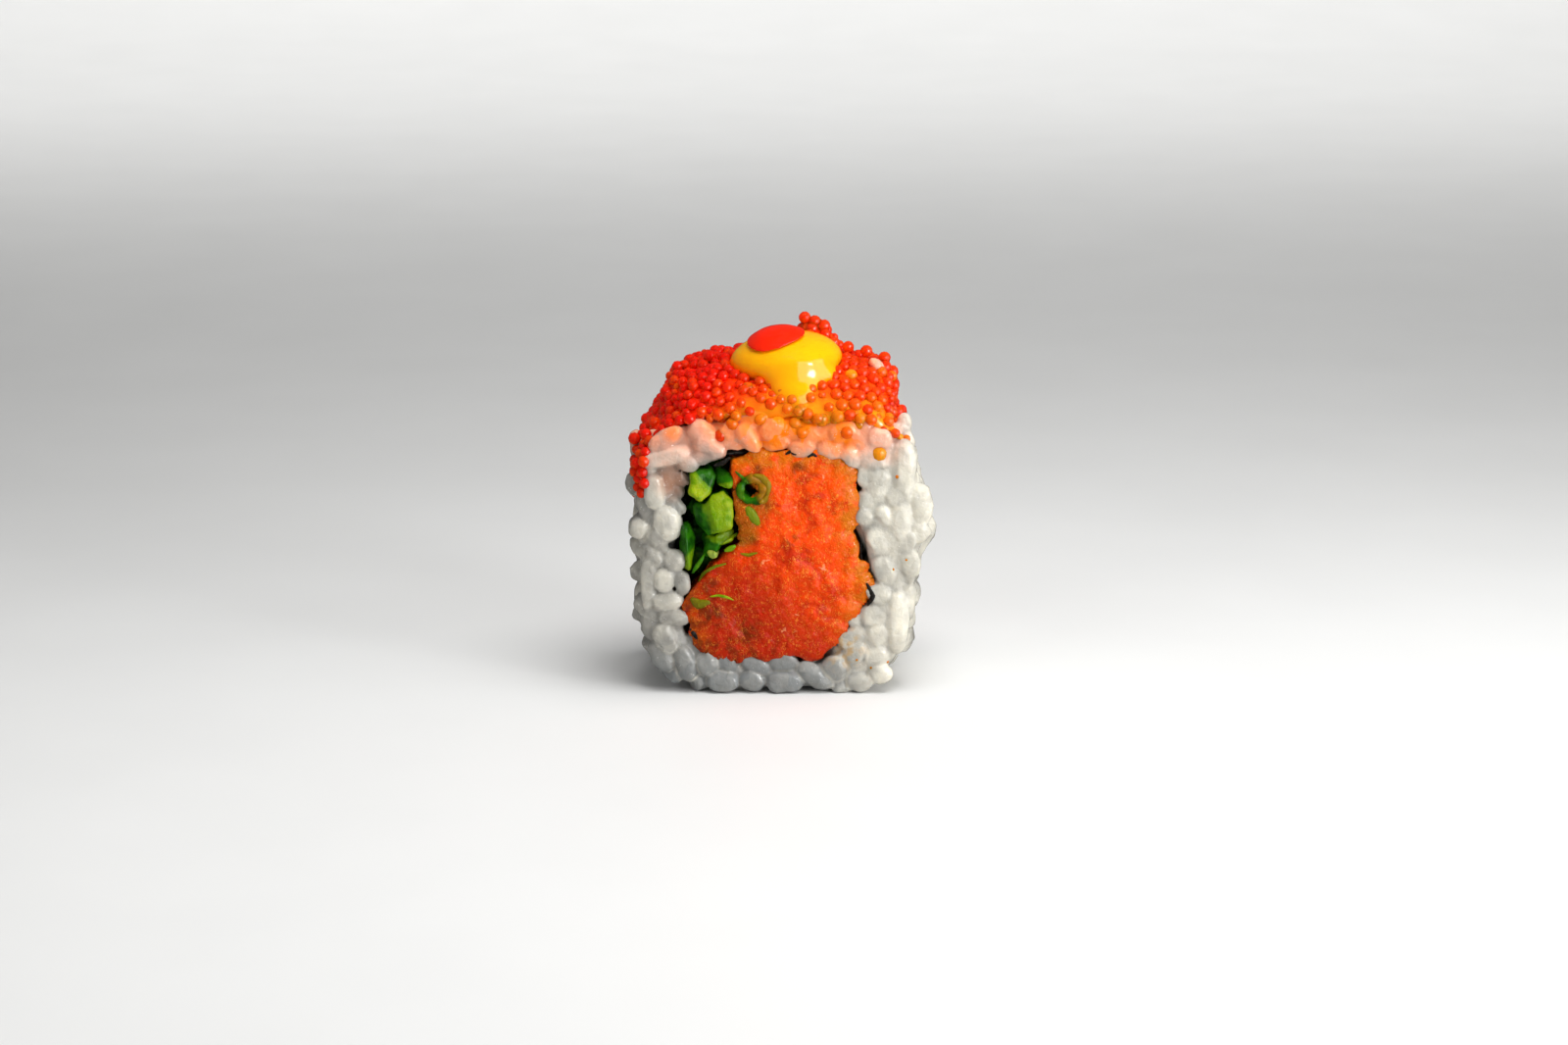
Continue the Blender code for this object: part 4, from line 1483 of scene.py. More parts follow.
def scattered_over(
    mesh: bpy.types.Mesh, count: int, rng: np.random.Generator
) -> tuple[np.ndarray, np.ndarray]:
    """Finds random places on a mesh, evenly over its area.

    Args:
        mesh: the mesh.
        count: how many.
        rng: the source of the random numbers.

    Returns:
        The places, and the way the mesh faces at each.
    """
    mesh.calc_loop_triangles()
    corners = np.empty(len(mesh.loop_triangles) * 3, np.int32)
    mesh.loop_triangles.foreach_get("vertices", corners)
    first, second, third = points_of(mesh)[corners.reshape(-1, 3)].transpose(1, 0, 2)
    facing = np.cross(second - first, third - first)
    size = np.linalg.norm(facing, axis=1)
    chosen = rng.choice(len(size), count, p=size / size.sum())
    shares = np.sort(rng.uniform(0.0, 1.0, (count, 2)), axis=1)
    spots = (
        first[chosen] * shares[:, :1]
        + second[chosen] * (shares[:, 1:] - shares[:, :1])
        + third[chosen] * (1.0 - shares[:, 1:])
    )
    return spots, facing[chosen] / size[chosen, None]


@dataclass(frozen=True)
class Stray:
    """One egg away from the heap: the side it is on, across and up it, and how wide it is."""

    side: Side
    across: float
    up: float
    width: float
    shade: float


@dataclass
class RoeTopping:
    """Flying fish roe heaped over the top and down the left side. Lengths in millimetres."""

    pearls: int = 1330
    across: tuple[float, float] = (1.35, 1.8)
    rounds: int = 90
    proud: float = 0.5
    gel_sink: float = 0.22
    seed: int = 33
    strays: tuple[Stray, ...] = (
        Stray(Side.FRONT, 13.6, 33.5, 2.25, 0.99),
        Stray(Side.FRONT, 9.2, 36.5, 1.85, 0.30),
        Stray(Side.FRONT, 10.9, 37.4, 1.75, 0.97),
        Stray(Side.FRONT, 5.9, 38.1, 2.0, 0.85),
        Stray(Side.FRONT, 7.6, 38.2, 1.8, 0.8),
        Stray(Side.FRONT, 3.2, 36.4, 1.7, 0.55),
        Stray(Side.FRONT, 2.2, 37.6, 1.8, 0.6),
        Stray(Side.FRONT, 3.9, 37.9, 1.9, 0.8),
        Stray(Side.FRONT, 2.9, 39.4, 2.0, 0.6),
        Stray(Side.FRONT, -7.9, 36.0, 1.75, 0.35),
        Stray(Side.FRONT, -6.3, 37.6, 1.8, 0.7),
        Stray(Side.FRONT, -7.6, 37.9, 1.7, 0.5),
        Stray(Side.FRONT, -2.5, 38.2, 1.85, 0.8),
        Stray(Side.FRONT, -0.9, 42.6, 1.85, 1.0),
        Stray(Side.FRONT, -4.2, 42.0, 1.8, 0.96),
        Stray(Side.LEFT, -7.4, 16.1, 1.9, 0.97),
        Stray(Side.LEFT, 4.0, 9.5, 1.6, 0.5),
        Stray(Side.LEFT, 7.5, 24.0, 1.5, 0.3),
        Stray(Side.RIGHT, -4.0, 29.3, 1.4, 0.97),
        Stray(Side.RIGHT, -4.5, 5.9, 1.6, 0.97),
        Stray(Side.RIGHT, 5.5, 21.0, 1.6, 0.4),
        Stray(Side.BACK, 8.5, 36.0, 1.8, 0.6),
        Stray(Side.BACK, -3.5, 36.6, 1.8, 0.4),
        Stray(Side.BACK, -12.6, 32.5, 1.9, 0.9),
        Stray(Side.BACK, 2.5, 37.2, 1.7, 0.8),
        Stray(Side.FRONT, 16.1, 30.5, 0.6, 0.5),
        Stray(Side.FRONT, 14.9, 4.4, 0.45, 0.8),
        Stray(Side.FRONT, 12.7, 3.6, 0.4, 0.8),
        Stray(Side.FRONT, 10.7, 4.8, 0.4, 0.9),
        Stray(Side.FRONT, 17.4, 18.9, 0.4, 0.8),
        Stray(Side.FRONT, 15.6, 17.5, 0.4, 0.8),
    )
    peak: tuple[Point, ...] = (
        (3.6, 5.5, 49.4),
        (5.0, 5.3, 48.9),
        (6.3, 5.2, 48.3),
        (4.4, 6.6, 48.2),
        (3.3, 5.9, 47.8),
        (4.6, 4.9, 47.9),
        (12.1, 0.0, 45.6),
        (9.6, 1.0, 46.0),
        (14.6, 0.5, 44.6),
        (-9.5, 0.0, 44.9),
        (-14.0, 0.0, 43.4),
    )

    def build(self) -> None:
        """Makes the gel and the pearls in it."""
        solid = CadSolid("roe")
        self.build_gel(solid)
        rng = np.random.default_rng(self.seed)
        across = rng.uniform(*self.across, self.pearls) * MM
        places = solid.inside(self.pearls, 0.0, rng)
        right = np.clip(places[:, 0] / (12.0 * MM), -1.0, 1.0)
        across *= 1.0 + 0.07 * right
        pack = Packing(
            solid,
            places,
            random_axes(self.pearls, rng),
            np.zeros(self.pearls),
            across / 2.0,
            lambda spot, normal: self.proud * MM,
        )
        pack.settle(self.rounds)
        left_out = np.maximum(self.film(pack.places), self.tuck(pack.places) > 0.1)
        kept = pack.kept() & ~self.bare(pack.places) & (left_out < rng.uniform(0.0, 1.0, self.pearls))
        places, across = pack.places[kept], across[kept]
        shades = rng.uniform(0.0, 1.0, len(places))
        lone = self.cover(places, across) + self.lone()
        places = np.concatenate([places, [spot for spot, _, _ in lone]])
        across = np.concatenate([across, [width for _, width, _ in lone]])
        shades = np.concatenate([shades, [shade for _, _, shade in lone]])
        count = len(places)
        kinds = [pearl_mesh(0.7, 1.0), pearl_mesh(3.1, 0.95), pearl_mesh(8.2, 0.9)]
        finish = RoeFinish().material("fish_roe", 0.32, 0.6)
        mesh = Scatter("roe_pearls", kinds, finish, jitter=0.02).mesh(
            places,
            turns_along(random_axes(count, rng), rng),
            np.repeat(across[:, None] * 1.04, 3, axis=1),
            shades,
            rng.integers(0, len(kinds), count),
        )
        finished("roe_pearls", mesh, finish, "roe", "roe")

    def tuck(self, places: np.ndarray) -> np.ndarray:
        """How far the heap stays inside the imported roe, low on its left and right shoulders."""
        x, _, z = (places / MM).T
        left = np.clip((-13.5 - x) / 3.0, 0.0, 1.0) * np.clip((z - 35.2) / 1.2, 0.0, 1.0) * np.clip((41.8 - z) / 2.0, 0.0, 1.0)
        right = np.clip((x - 13.5) / 3.0, 0.0, 1.0) * np.clip((42.2 - z) / 2.5, 0.0, 1.0)
        return 1.3 * left + 1.2 * right

    def bare(self, places: np.ndarray) -> np.ndarray:
        """Which places are low on the left side, where rice shows and only the drape has eggs."""
        x, _, z = (places / MM).T
        return (x < -15.5) & (z < 36.2)

    def film(self, places: np.ndarray) -> np.ndarray:
        """How likely each place is covered by smooth gel alone, low on the front."""
        x, y, z = (places / MM).T
        low = np.clip((41.8 - z) / 2.0, 0.0, 1.0) * np.clip((-7.0 - y) / 1.5, 0.0, 1.0)
        centre = np.clip((8.0 - np.abs(x - 2.5)) / 3.0, 0.0, 1.0)
        return low * centre * np.clip(0.42 + 0.7 * noise_at(places, 2.5, 1, 4.0), 0.0, 0.8)

    def lone(self) -> list[tuple[Vector, float, float]]:
        """The place, width and shade of the eggs on the peak and of those away from the heap."""
        skin = Skin("rice_grains", "roe_gel")
        found = [(Vector(spot) * MM, 1.7 * MM, 0.4) for spot in self.peak]
        found += self.drape(skin)
        for stray in self.strays:
            hit = skin.touch(stray.side, stray.across, stray.up)
            if hit is not None:
                out = Vector(stray.side.value) * (0.24 * stray.width * MM)
                found.append((hit + out, stray.width * MM, stray.shade))
        return found

    def cover(self, places: np.ndarray, across: np.ndarray) -> list[tuple[Vector, float, float]]:
        """Eggs for the bare spots of the gel, few where the sauce has run down the front.

        Args:
            places: the eggs that are there.
            across: how wide they are.

        Returns:
            The place, width and shade of each new egg.
        """
        rng = np.random.default_rng(self.seed + 2)
        gel, rice = bpy.data.objects["roe_gel"].data, Skin("rice_grains").trees[0]
        taken, wide = places.copy(), across.copy()
        found: list[tuple[Vector, float, float]] = []
        for turn, (spot, normal) in enumerate(zip(*scattered_over(gel, 20000, rng))):
            x, y, z = spot / MM
            width, shade, chance = rng.uniform(1.3, 1.75) * MM, rng.uniform(0.0, 0.95), rng.uniform(0.0, 1.0)
            if turn > 12000:
                width *= 0.8
            if normal[2] < -0.8 or (x < -15.5 and z < 33.6):
                continue
            if y < -6.0 and z < 42.5 and abs(x - 1.5) < 6.5 and chance > 0.03:
                continue
            under, out, _, _ = rice.find_nearest(Vector(spot))
            if (Vector(spot) - under).dot(out) < 0.0:
                continue
            spot = spot + normal * (0.12 * width)
            if np.all(np.linalg.norm(taken - spot, axis=1) > 0.43 * (wide + width)):
                taken = np.vstack([taken, spot])
                wide = np.append(wide, width)
                found.append((Vector(spot), width, shade))
        return found

    def drape(self, skin: Skin) -> list[tuple[Vector, float, float]]:
        """The eggs of the narrow strip down the front left edge, on what is under them."""
        rng = np.random.default_rng(self.seed + 1)
        found: list[tuple[Vector, float, float]] = []
        for _ in range(4000):
            up = rng.uniform(28.0, 37.5)
            half = 0.25 + 0.65 * min((up - 28.0) / 3.0, 1.0)
            across = -18.7 + rng.uniform(-half, half)
            width = rng.uniform(1.35, 1.7)
            hit = skin.touch(Side.FRONT, across, up)
            if hit is None or hit.y > -2.0 * MM:
                continue
            spot = hit + Vector((-0.10, -0.12, 0.0)) * (width * MM)
            if all((spot - other).length > 0.40 * (width * MM + wide) for other, wide, _ in found):
                found.append((spot, width * MM, rng.uniform(0.35, 0.94)))
        return found

    def build_gel(self, solid: CadSolid) -> None:
        """Makes the gel, which sinks away where the eggs are left out.

        Args:
            solid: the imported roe.
        """
        mesh = shell_inside(
            solid,
            "roe_gel",
            0.42,
            lambda places: np.where(
                self.bare(places),
                9.0,
                self.gel_sink
                + 1.25 * self.tuck(places)
                + 0.45 * np.clip((-3.0 * MM - places[:, 0]) / (5.0 * MM), 0.0, 1.0)
                - 0.2 * self.film(places)
                + 0.14 * noise_at(places, 1.4, 2, 8.0),
            ),
            lambda places: np.where(self.bare(places), 0.92, 0.42 + 0.42 * np.clip(self.tuck(places), 0.0, 1.0)),
        )
        places, facing = points_of(mesh), normals_of(mesh)
        under = np.clip(-facing[:, 2], 0.0, 1.0) * np.clip((-9.0 * MM - places[:, 1]) / (1.5 * MM), 0.0, 1.0)
        places[:, 2] -= under * np.where(self.bare(places), 0.0, 0.9) * MM
        set_points(mesh, places)
        paint(mesh, "shade", np.full(len(mesh.vertices), 0.72))
        finished("roe_gel", mesh, RoeFinish().material("roe_gel", 0.0, 0.0), "roe", "roe")


# ---------------------------------------------------------------- filling


@dataclass
class TunaFilling:
    """The minced tuna that fills the roll. Lengths in millimetres."""

    voxel: float = 0.31
    grow: float = 0.3
    flare: float = 1.5
    lump: float = 0.36
    grit: float = 0.22
    rim_width: float = 1.7

    def build(self) -> None:
        """Makes the filling."""
        mesh = remeshed(CadSolid("spicy_tuna").mesh("spicy_tuna"), self.voxel)
        smoothed(mesh, 2)
        wrap = CadSolid("nori").tree
        places, facing = points_of(mesh), normals_of(mesh)
        swell = self.grow + self.lump * noise_at(places, 3.2, 2, 11.0)
        swell += self.grit * noise_at(places, 1.1, 3, 5.0)
        out = facing * np.array([1.0, 0.0, 1.0])
        sideways = np.linalg.norm(out, axis=1)
        out *= (np.clip((sideways - 0.35) / 0.4, 0.0, 1.0) / np.maximum(sideways, 0.3))[:, None]
        mouth = np.clip((np.abs(places[:, 1]) - 10.8 * MM) / (0.9 * MM), 0.0, 1.0)
        left = np.clip((places[:, 0] + 6.0 * MM) / (3.0 * MM), 0.0, 1.0)
        left = np.maximum(left, np.clip((14.5 * MM - places[:, 2]) / (2.0 * MM), 0.0, 1.0))
        lip = self.flare * mouth * left * np.clip(0.75 + 0.8 * noise_at(places, 2.6, 2, 31.0), 0.1, 1.1)
        set_points(mesh, places + facing * (swell * MM)[:, None] + out * (lip * MM)[:, None])
        away = np.array([wrap.find_nearest(Vector(p))[3] for p in places])
        paint(mesh, "rim", np.exp(-away / (self.rim_width * MM)))
        finished("tuna_filling", mesh, TunaFinish().material(), "tuna", "spicy_tuna")


@dataclass
class NoriWrap:
    """The seaweed sheet between rice and filling. Lengths in millimetres."""

    ripple: float = 0.14
    ragged: float = 0.5
    short: float = 2.6
    flakes: tuple[Ribbon, ...] = (
        Ribbon(((-8.8, 32.0), (-7.6, 32.4), (-6.6, 33.2)), 0.7, 0.0, 0.2),
        Ribbon(((0.9, 33.5), (1.7, 33.9), (2.4, 33.5)), 0.6, 0.0, 0.05),
        Ribbon(((3.9, 33.1), (4.6, 33.5), (5.2, 33.2)), 0.5, 0.0, 0.05),
        Ribbon(((-12.2, 9.1), (-11.7, 8.5), (-11.2, 7.7)), 0.7, 0.0, 0.1),
        Ribbon(((12.0, 15.6), (12.9, 13.9), (12.2, 12.3)), 0.7, 0.0, 0.15),
        Ribbon(((-8.8, 32.0), (-7.2, 32.8), (-5.9, 32.5)), 0.8, 0.0, 0.3, side=Side.BACK),
    )

    def build(self) -> None:
        """Makes the sheet."""
        solid = CadSolid("nori")
        shape = solid.shape
        for _ in range(2):
            long = [edge for edge in shape.edges if edge.calc_length() > 1.1 * MM]
            bmesh.ops.subdivide_edges(shape, edges=long, cuts=1, use_grid_fill=True)
        bmesh.ops.triangulate(shape, faces=shape.faces)
        mesh = solid.mesh("nori_wrap")
        places, facing = points_of(mesh), normals_of(mesh)
        wave = noise_at(places, 1.3, 3, 2.0)
        moved = places + facing * (self.ripple * MM * wave)[:, None]
        end = np.clip((np.abs(places[:, 1]) - 8.4 * MM) / (3.5 * MM), 0.0, 1.0)
        tear = noise_at(places * np.array([1.0, 0.0, 1.0]), 0.9, 3, 7.0)
        moved[:, 1] += np.sign(places[:, 1]) * end * (tear * self.ragged - self.shortness(places)) * MM
        set_points(mesh, moved)
        finished("nori_wrap", mesh, NoriFinish().material(), "nori", "nori")

    def shortness(self, places: np.ndarray) -> np.ndarray:
        """How far short of the cut the sheet ends, less where it shows."""
        x, _, z = (places / MM).T
        corner = np.exp(-((x + 6.5) ** 2 + (z - 33.0) ** 2) / 16.0)
        right = np.clip((x - 10.0) / 1.5, 0.0, 1.0) * np.clip((23.0 - z) / 3.0, 0.0, 1.0)
        foot = np.exp(-((x + 10.5) ** 2 + (z - 8.0) ** 2) / 9.0)
        return self.short * (1.0 - 0.8 * np.maximum(corner, np.maximum(right, foot)))

    def build_flakes(self) -> None:
        """Makes the torn bits that show at the cut faces."""
        skin = Skin("rice_grains", "tuna_filling", "onion_chips")
        mesh = ribbons("nori_flakes", self.flakes, skin)
        finished("nori_flakes", mesh, NoriFinish().material(), "nori")


@dataclass(frozen=True)
class OnionCut:
    """How one piece of onion shows at the cut face: the side where light is painted on it, and where that painted
    light ends.
    """

    node: str
    lit: tuple[float, float]
    shine: float
    slope: tuple[float, float]
    ridge: float = 0.0
    warp: float = 0.18
    border: float = 0.0
    film: float = 0.0
    nudge: tuple[float, float] = (0.0, 0.0)


@dataclass
class SpringOnion:
    """The chopped spring onion beside the tuna. Lengths in millimetres."""

    pieces: tuple[OnionCut, ...] = (
        OnionCut("onion_block", (-0.6, -0.8), 0.95, (0.10, 0.30), border=-0.5),
        OnionCut("onion_chunk", (0.75, 0.35), 0.8, (-0.28, 0.12), 0.35, border=-0.5),
        OnionCut("onion_curl", (0.3, 0.7), 0.62, (0.0, 0.25), 0.5, 0.45, border=-0.1),
        OnionCut("onion_side", (0.2, -0.95), 0.60, (0.1, 0.0), 0.75, border=0.1, nudge=(-0.7, 0.0)),
        OnionCut("onion_tube", (-0.9, -0.2), 0.22, (0.0, 0.0), 0.0, 0.55, border=0.3, film=1.0),
        OnionCut("onion_wedge", (0.2, -0.9), 0.40, (-0.2, 0.35), border=0.2),
    )
    slivers: tuple[Ribbon, ...] = (
        Ribbon(((-9.4, 13.7), (-8.2, 13.9), (-7.2, 13.7), (-6.2, 13.3)), 0.42, 1.0, 0.2),
        Ribbon(((-11.8, 17.1), (-11.0, 18.3), (-10.1, 19.6)), 0.6, 0.18, 0.25),
        Ribbon(((-4.3, 26.3), (-3.7, 25.2), (-2.7, 23.8)), 1.5, 0.38, 0.25, film=0.25),
        Ribbon(((-7.2, 18.3), (-9.0, 17.8), (-10.3, 16.7), (-10.9, 15.4), (-10.5, 14.0)), 0.5, 0.3, 0.2, film=0.3),
        Ribbon(((-12.0, 13.4), (-11.0, 12.6), (-9.4, 12.9)), 1.3, 0.22, 0.2, film=0.45),
        Ribbon(((-9.7, 20.0), (-9.0, 19.6), (-8.2, 19.8)), 1.1, 1.2, 0.4),
        Ribbon(((-7.6, 21.2), (-6.6, 21.5), (-5.6, 22.3)), 0.55, 0.75, 0.3),
        Ribbon(((-7.4, 20.2), (-6.6, 20.5), (-5.9, 20.9)), 0.8, 0.45, 0.3),
        Ribbon(((-5.2, 19.7), (-4.1, 19.5), (-2.9, 19.9)), 0.5, 0.35, 0.2, film=0.5),
        Ribbon(((-3.4, 30.7), (-2.2, 30.3), (-1.4, 29.2), (-1.6, 27.8)), 1.1, 0.3, 0.35, film=0.7),
        Ribbon(((-2.6, 26.9), (-1.9, 27.3), (-1.5, 28.0)), 0.8, 0.3, 0.3, film=0.8),
        Ribbon(((-5.9, 31.2), (-4.8, 30.2), (-4.2, 29.6)), 0.5, 0.22, 0.2),
        Ribbon(((-8.9, 13.8), (-7.9, 13.6)), 0.4, 0.9, 0.2, side=Side.BACK),
        Ribbon(((-5.0, 25.0), (-3.6, 25.9)), 1.1, 0.4, 0.2, side=Side.BACK),
    )
    voxel: float = 0.17
    grow: float = 0.24
    chips: int = 75
    seed: int = 9

    def build(self) -> None:
        """Makes the pieces that show at the cut and the chips behind them."""
        finish = OnionFinish().material()
        for piece in self.pieces:
            finished(piece.node + "_cut", self.piece_mesh(piece), finish, "onion", piece.node)
        self.build_bundle(finish)
        names = [piece.node + "_cut" for piece in self.pieces]
        skin = Skin("tuna_filling", "onion_chips", *names)
        finished("onion_slivers", ribbons("onion_slivers", self.slivers, skin), finish, "onion")

    def piece_mesh(self, piece: OnionCut) -> bpy.types.Mesh:
        """One cut piece: its CAD solid with worn edges, a tilted or ridged face and dents.

        Args:
            piece: which piece, and how it shows.

        Returns:
            Its mesh, with how far into the pale cut flesh each vertex is, which also carries painted light on its
            lit side.
        """
        mesh = remeshed(CadSolid(piece.node).mesh(piece.node), self.voxel)
        smoothed(mesh, 1)
        places, facing = points_of(mesh), normals_of(mesh)
        low, high = places.min(0), places.max(0)
        off = (places - 0.5 * (low + high)) / (0.5 * (high - low))
        front = np.clip((high[1] - places[:, 1]) / (high[1] - low[1]), 0.0, 1.0)
        away = off[:, 0] * piece.slope[0] + off[:, 2] * piece.slope[1]
        away += piece.ridge * (np.abs(off[:, 0] + 0.3 * off[:, 2]) - 0.4)
        places[:, 1] += front * away * 2.4 * MM
        dents = piece.warp * noise_at(places, 1.5, 2, 3.0) + self.grow
        shift = np.array([piece.nudge[0], 0.0, piece.nudge[1]]) * MM
        set_points(mesh, places + shift + facing * (dents * MM)[:, None])
        # Painted light: the cut value is highest on each piece's lit side and fades where that light ends, mostly on
        # faces towards the front.
        towards = off[:, 0] * piece.lit[0] + off[:, 2] * piece.lit[1]
        edge = np.clip((towards - piece.border + 0.12 * noise_at(places, 1.0, 2, 9.0)) / 0.35, 0.0, 1.0)
        flesh = piece.shine * edge * (0.75 + 0.35 * towards) * (0.15 + 0.85 * (facing[:, 1] < -0.2))
        paint(mesh, "cut", np.clip(flesh, 0.0, 1.0))
        oil = piece.film * np.clip((off[:, 0] + 0.5 * off[:, 2]) / 0.5, 0.0, 1.0)
        paint(mesh, "film", oil)
        return mesh

    def chip(self, seed: float) -> bpy.types.Mesh:
        """One chopped piece of leaf, one unit long: a bent slab with rough cut ends."""
        shape = bmesh.new()
        bmesh.ops.create_cube(shape, size=1.0)
        bmesh.ops.subdivide_edges(shape, edges=shape.edges, cuts=2, use_grid_fill=True)
        for vert in shape.verts:
            spot = vert.co * 2.2 + Vector((seed, 0.0, seed))
            vert.co += 0.16 * noise.noise_vector(spot)
            vert.co.z = vert.co.z * 0.55 - 0.30 * vert.co.y**2
        bmesh.ops.recalc_face_normals(shape, faces=shape.faces)
        made = bpy.data.meshes.new("chip")
        shape.to_mesh(made)
        shape.free()
        return made

    def build_bundle(self, finish: bpy.types.Material) -> None:
        """Makes the chopped onion that runs through the roll.

        Args:
            finish: the onion's material.
        """
        solid = CadSolid("onion_bundle")
        rng = np.random.default_rng(self.seed)
        size = rng.uniform(2.6, 3.8, self.chips) * MM
        pack = Packing(
            solid,
            solid.inside(self.chips, 0.2 * MM, rng),
            random_axes(self.chips, rng),
            np.zeros(self.chips),
            size * 0.45,
            lambda spot, normal: 0.1 * MM,
        )
        pack.settle(60)
        kinds = [self.chip(1.0), self.chip(4.4), self.chip(7.3)]
        mesh = Scatter("onion_chips", kinds, finish, jitter=0.1).mesh(
            pack.places,
            turns_along(random_axes(self.chips, rng), rng),
            size[:, None] * rng.uniform((0.9, 0.8, 0.7), (1.25, 1.1, 1.0), (self.chips, 3)),
            rng.uniform(0.0, 1.0, self.chips),
            rng.integers(0, len(kinds), self.chips),
        )
        paint(mesh, "cut", 0.5 * np.clip(noise_at(points_of(mesh), 2.5, 2, 1.0) + 0.1, 0.0, 1.0))
        finished("onion_chips", mesh, finish, "onion", "onion_bundle")
        core = shell_inside(solid, "onion_core", 0.6, even(0.9), even(0.3))
        paint(core, "cut", np.zeros(len(core.vertices)))
        finished("onion_core", core, finish, "onion", "onion_bundle")


# ---------------------------------------------------------------- sauces


@dataclass
class YellowSauce:
    """The dollop on top and the tongue of sauce that runs down the front. Lengths in millimetres."""

    voxel: float = 0.28
    tongue_x: float = 2.5
    steps: int = 12
    belly: Point = (5.7, -5.4, 43.1)

    def build(self) -> None:
        """Makes the sauce."""
        dollop = CadSolid("sauce_dollop")
        roe = CadSolid("roe")
        shape = dollop.shape.copy()
        belly = Matrix.Translation(Vector(self.belly) * MM) @ Matrix.Diagonal((2.5 * MM, 3.5 * MM, 2.0 * MM, 1.0))
        bmesh.ops.create_icosphere(shape, subdivisions=3, radius=1.0, matrix=belly)
        for step in range(self.steps):
            share = step / (self.steps - 1)
            height = (43.2 - 7.4 * share) * MM
            x = (self.tongue_x + 0.3 - 0.9 * (1.0 - share)) * MM
            hit = roe.tree.ray_cast(Vector((x, -40.0 * MM, height)), Vector((0.0, 1.0, 0.0)))
            if hit[0] is None or hit[0].y > -5.0 * MM:
                continue
            wide = 1.7 + 3.2 * (1.0 - share) ** 2.0
            tall = 2.3 - 0.9 * share**0.5
            sunk = (0.35 + 0.85 * share**0.5) * MM
            ball = Matrix.Translation(hit[0] + Vector((0.0, sunk, 0.0)))
            ball = ball @ Matrix.Diagonal((wide * MM, 1.0 * MM, tall * MM, 1.0))
            bmesh.ops.create_icosphere(shape, subdivisions=3, radius=1.0, matrix=ball)
        mesh = bpy.data.meshes.new("yellow_sauce")
        shape.to_mesh(mesh)
        mesh = remeshed(mesh, self.voxel)
        smoothed(mesh, 6)
        places = points_of(mesh) / MM
        reach = np.hypot(places[:, 0] - self.tongue_x, 1.25 * (places[:, 2] - 41.4))
        smoothed(mesh, 70, where=(reach < 5.4) & (places[:, 1] < -3.0))
        smoothed(mesh, 16, where=(places[:, 0] > 2.5) & (places[:, 2] < 45.2))
        smoothed(mesh, 6)
        finish = SauceFinish("yellow_sauce", (1.0, 0.43, 0.001), (0.98, 0.16, 0.001), 44.6, 38.5, 0.45)
        finished("yellow_sauce", mesh, finish.material(), "yellow_sauce", "sauce_dollop")


@dataclass
class RedDrop:
    """The drop of red sauce on the dollop. Lengths in millimetres."""

    voxel: float = 0.16

    def build(self) -> None:
        """Makes the drop."""
        mesh = remeshed(CadSolid("red_drop").mesh("red_drop"), self.voxel)
        smoothed(mesh, 3)
        finish = SauceFinish("red_sauce", (1.0, 0.016, 0.001), (0.9, 0.009, 0.001), 47.0, 44.0)
        finished("red_drop_gloss", mesh, finish.material(), "red_sauce", "red_drop")


# ---------------------------------------------------------------- studio


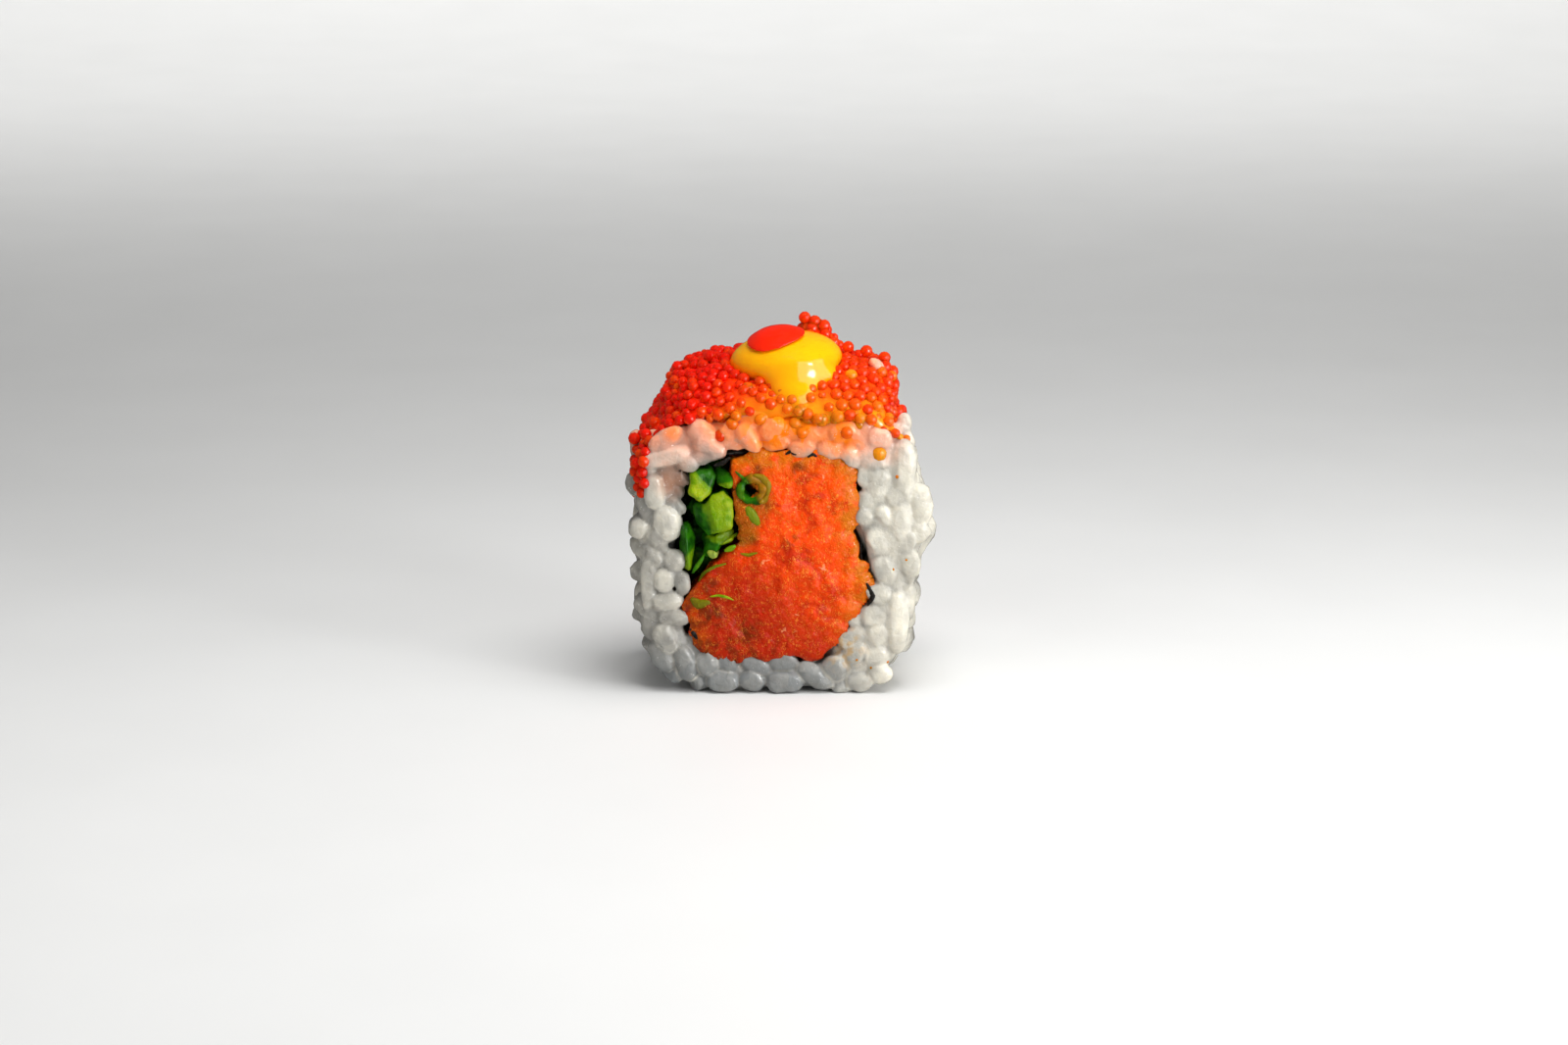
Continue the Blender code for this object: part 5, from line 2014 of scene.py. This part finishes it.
@dataclass
class Studio:
    """The floor, the lights and the camera. Lengths in millimetres, angles in degrees."""

    aim: Point = (0.71, -12.57, 24.15)
    distance: float = 503.7
    elevation: float = 12.5
    lens: float = 85.0
    key_power: float = 1.10
    core_power: float = 0.29
    top_power: float = 1.3
    fill_power: float = 0.25
    backdrop_power: float = 14.0
    ambient: float = 0.07

    def build(self) -> None:
        """Makes everything round the piece."""
        self.floor()
        self.lamp("key", (290.0, -215.0, 90.0), (500.0, 380.0), self.key_power, True)
        self.lamp("core", (235.0, -190.0, 110.0), (70.0, 60.0), self.core_power, True)
        self.lamp("top", (60.0, -60.0, 340.0), (260.0, 260.0), self.top_power, False)
        self.lamp("fill", (-260.0, -260.0, 190.0), (200.0, 200.0), self.fill_power, False)
        self.lamp("backdrop", (0.0, 650.0, 800.0), (1600.0, 300.0), self.backdrop_power, False, (0.0, 1500.0, 250.0))
        world = bpy.data.worlds.new("studio_air")
        world.use_nodes = True
        air = world.node_tree.nodes["Background"]
        air.inputs[0].default_value = (1.0, 1.0, 1.0, 1.0)
        air.inputs[1].default_value = self.ambient
        bpy.context.scene.world = world
        bpy.context.scene.view_settings.view_transform = "Standard"
        self.camera()

    def floor(self) -> None:
        """The pale floor, which sweeps up far behind the piece."""
        shape = bmesh.new()
        half = 3000.0 * MM
        profile = [(-2000.0, 0.0), (900.0, 0.0)]
        for step in range(1, 13):
            angle = 0.5 * math.pi * step / 12
            profile.append((900.0 + 600.0 * math.sin(angle), 600.0 * (1.0 - math.cos(angle))))
        profile.append((1500.0, 2600.0))
        rows = [
            [shape.verts.new((side * half, y * MM, z * MM)) for side in (-1.0, 1.0)]
            for y, z in profile
        ]
        for near, far in zip(rows, rows[1:]):
            shape.faces.new((near[0], near[1], far[1], far[0]))
        mesh = bpy.data.meshes.new("studio_floor")
        shape.to_mesh(mesh)
        shape.free()
        mesh.polygons.foreach_set("use_smooth", [True] * len(mesh.polygons))
        mesh.materials.append(FloorFinish().material())
        floor = bpy.data.objects.new("studio_floor", mesh)
        bpy.context.scene.collection.objects.link(floor)
        floor.visible_glossy = False

    def lamp(
        self,
        name: str,
        place: Point,
        size: tuple[float, float],
        power: float,
        mirrored: bool,
        target: Point = (0.0, 0.0, 25.0),
    ) -> None:
        """A soft rectangular lamp.

        Args:
            name: its name.
            place: where it is.
            size: how wide and high it is.
            power: its power in watts.
            mirrored: whether glossy surfaces mirror it.
            target: where it points.
        """
        light = bpy.data.lights.new(name, "AREA")
        light.shape = "RECTANGLE"
        light.size, light.size_y = size[0] * MM, size[1] * MM
        light.energy = power
        lamp = bpy.data.objects.new(name, light)
        lamp.location = Vector(place) * MM
        lamp.visible_glossy = mirrored
        towards = Vector(target) * MM - lamp.location
        lamp.rotation_euler = towards.to_track_quat("-Z", "Y").to_euler()
        bpy.context.scene.collection.objects.link(lamp)

    def camera(self) -> None:
        """The camera, at the photograph's viewing angle."""
        lens = bpy.data.cameras.new("view")
        lens.lens = self.lens
        lens.sensor_width = 36.0
        lens.clip_start = 0.01
        view = bpy.data.objects.new("view", lens)
        up = math.radians(self.elevation)
        back = Vector((0.0, -math.cos(up), math.sin(up))) * self.distance
        view.location = (Vector(self.aim) + back) * MM
        view.rotation_euler = (math.pi / 2.0 - up, 0.0, 0.0)
        bpy.context.scene.collection.objects.link(view)
        bpy.context.scene.camera = view


def main() -> None:
    """Builds the piece from the inside out, then the studio."""
    logging.basicConfig(level=logging.INFO, format="%(name)s %(message)s")
    TunaFilling().build()
    SpringOnion().build()
    wrap = NoriWrap()
    wrap.build()
    RiceWall().build()
    wrap.build_flakes()
    RoeTopping().build()
    YellowSauce().build()
    RedDrop().build()
    Studio().build()


if __name__ == "__main__":
    main()
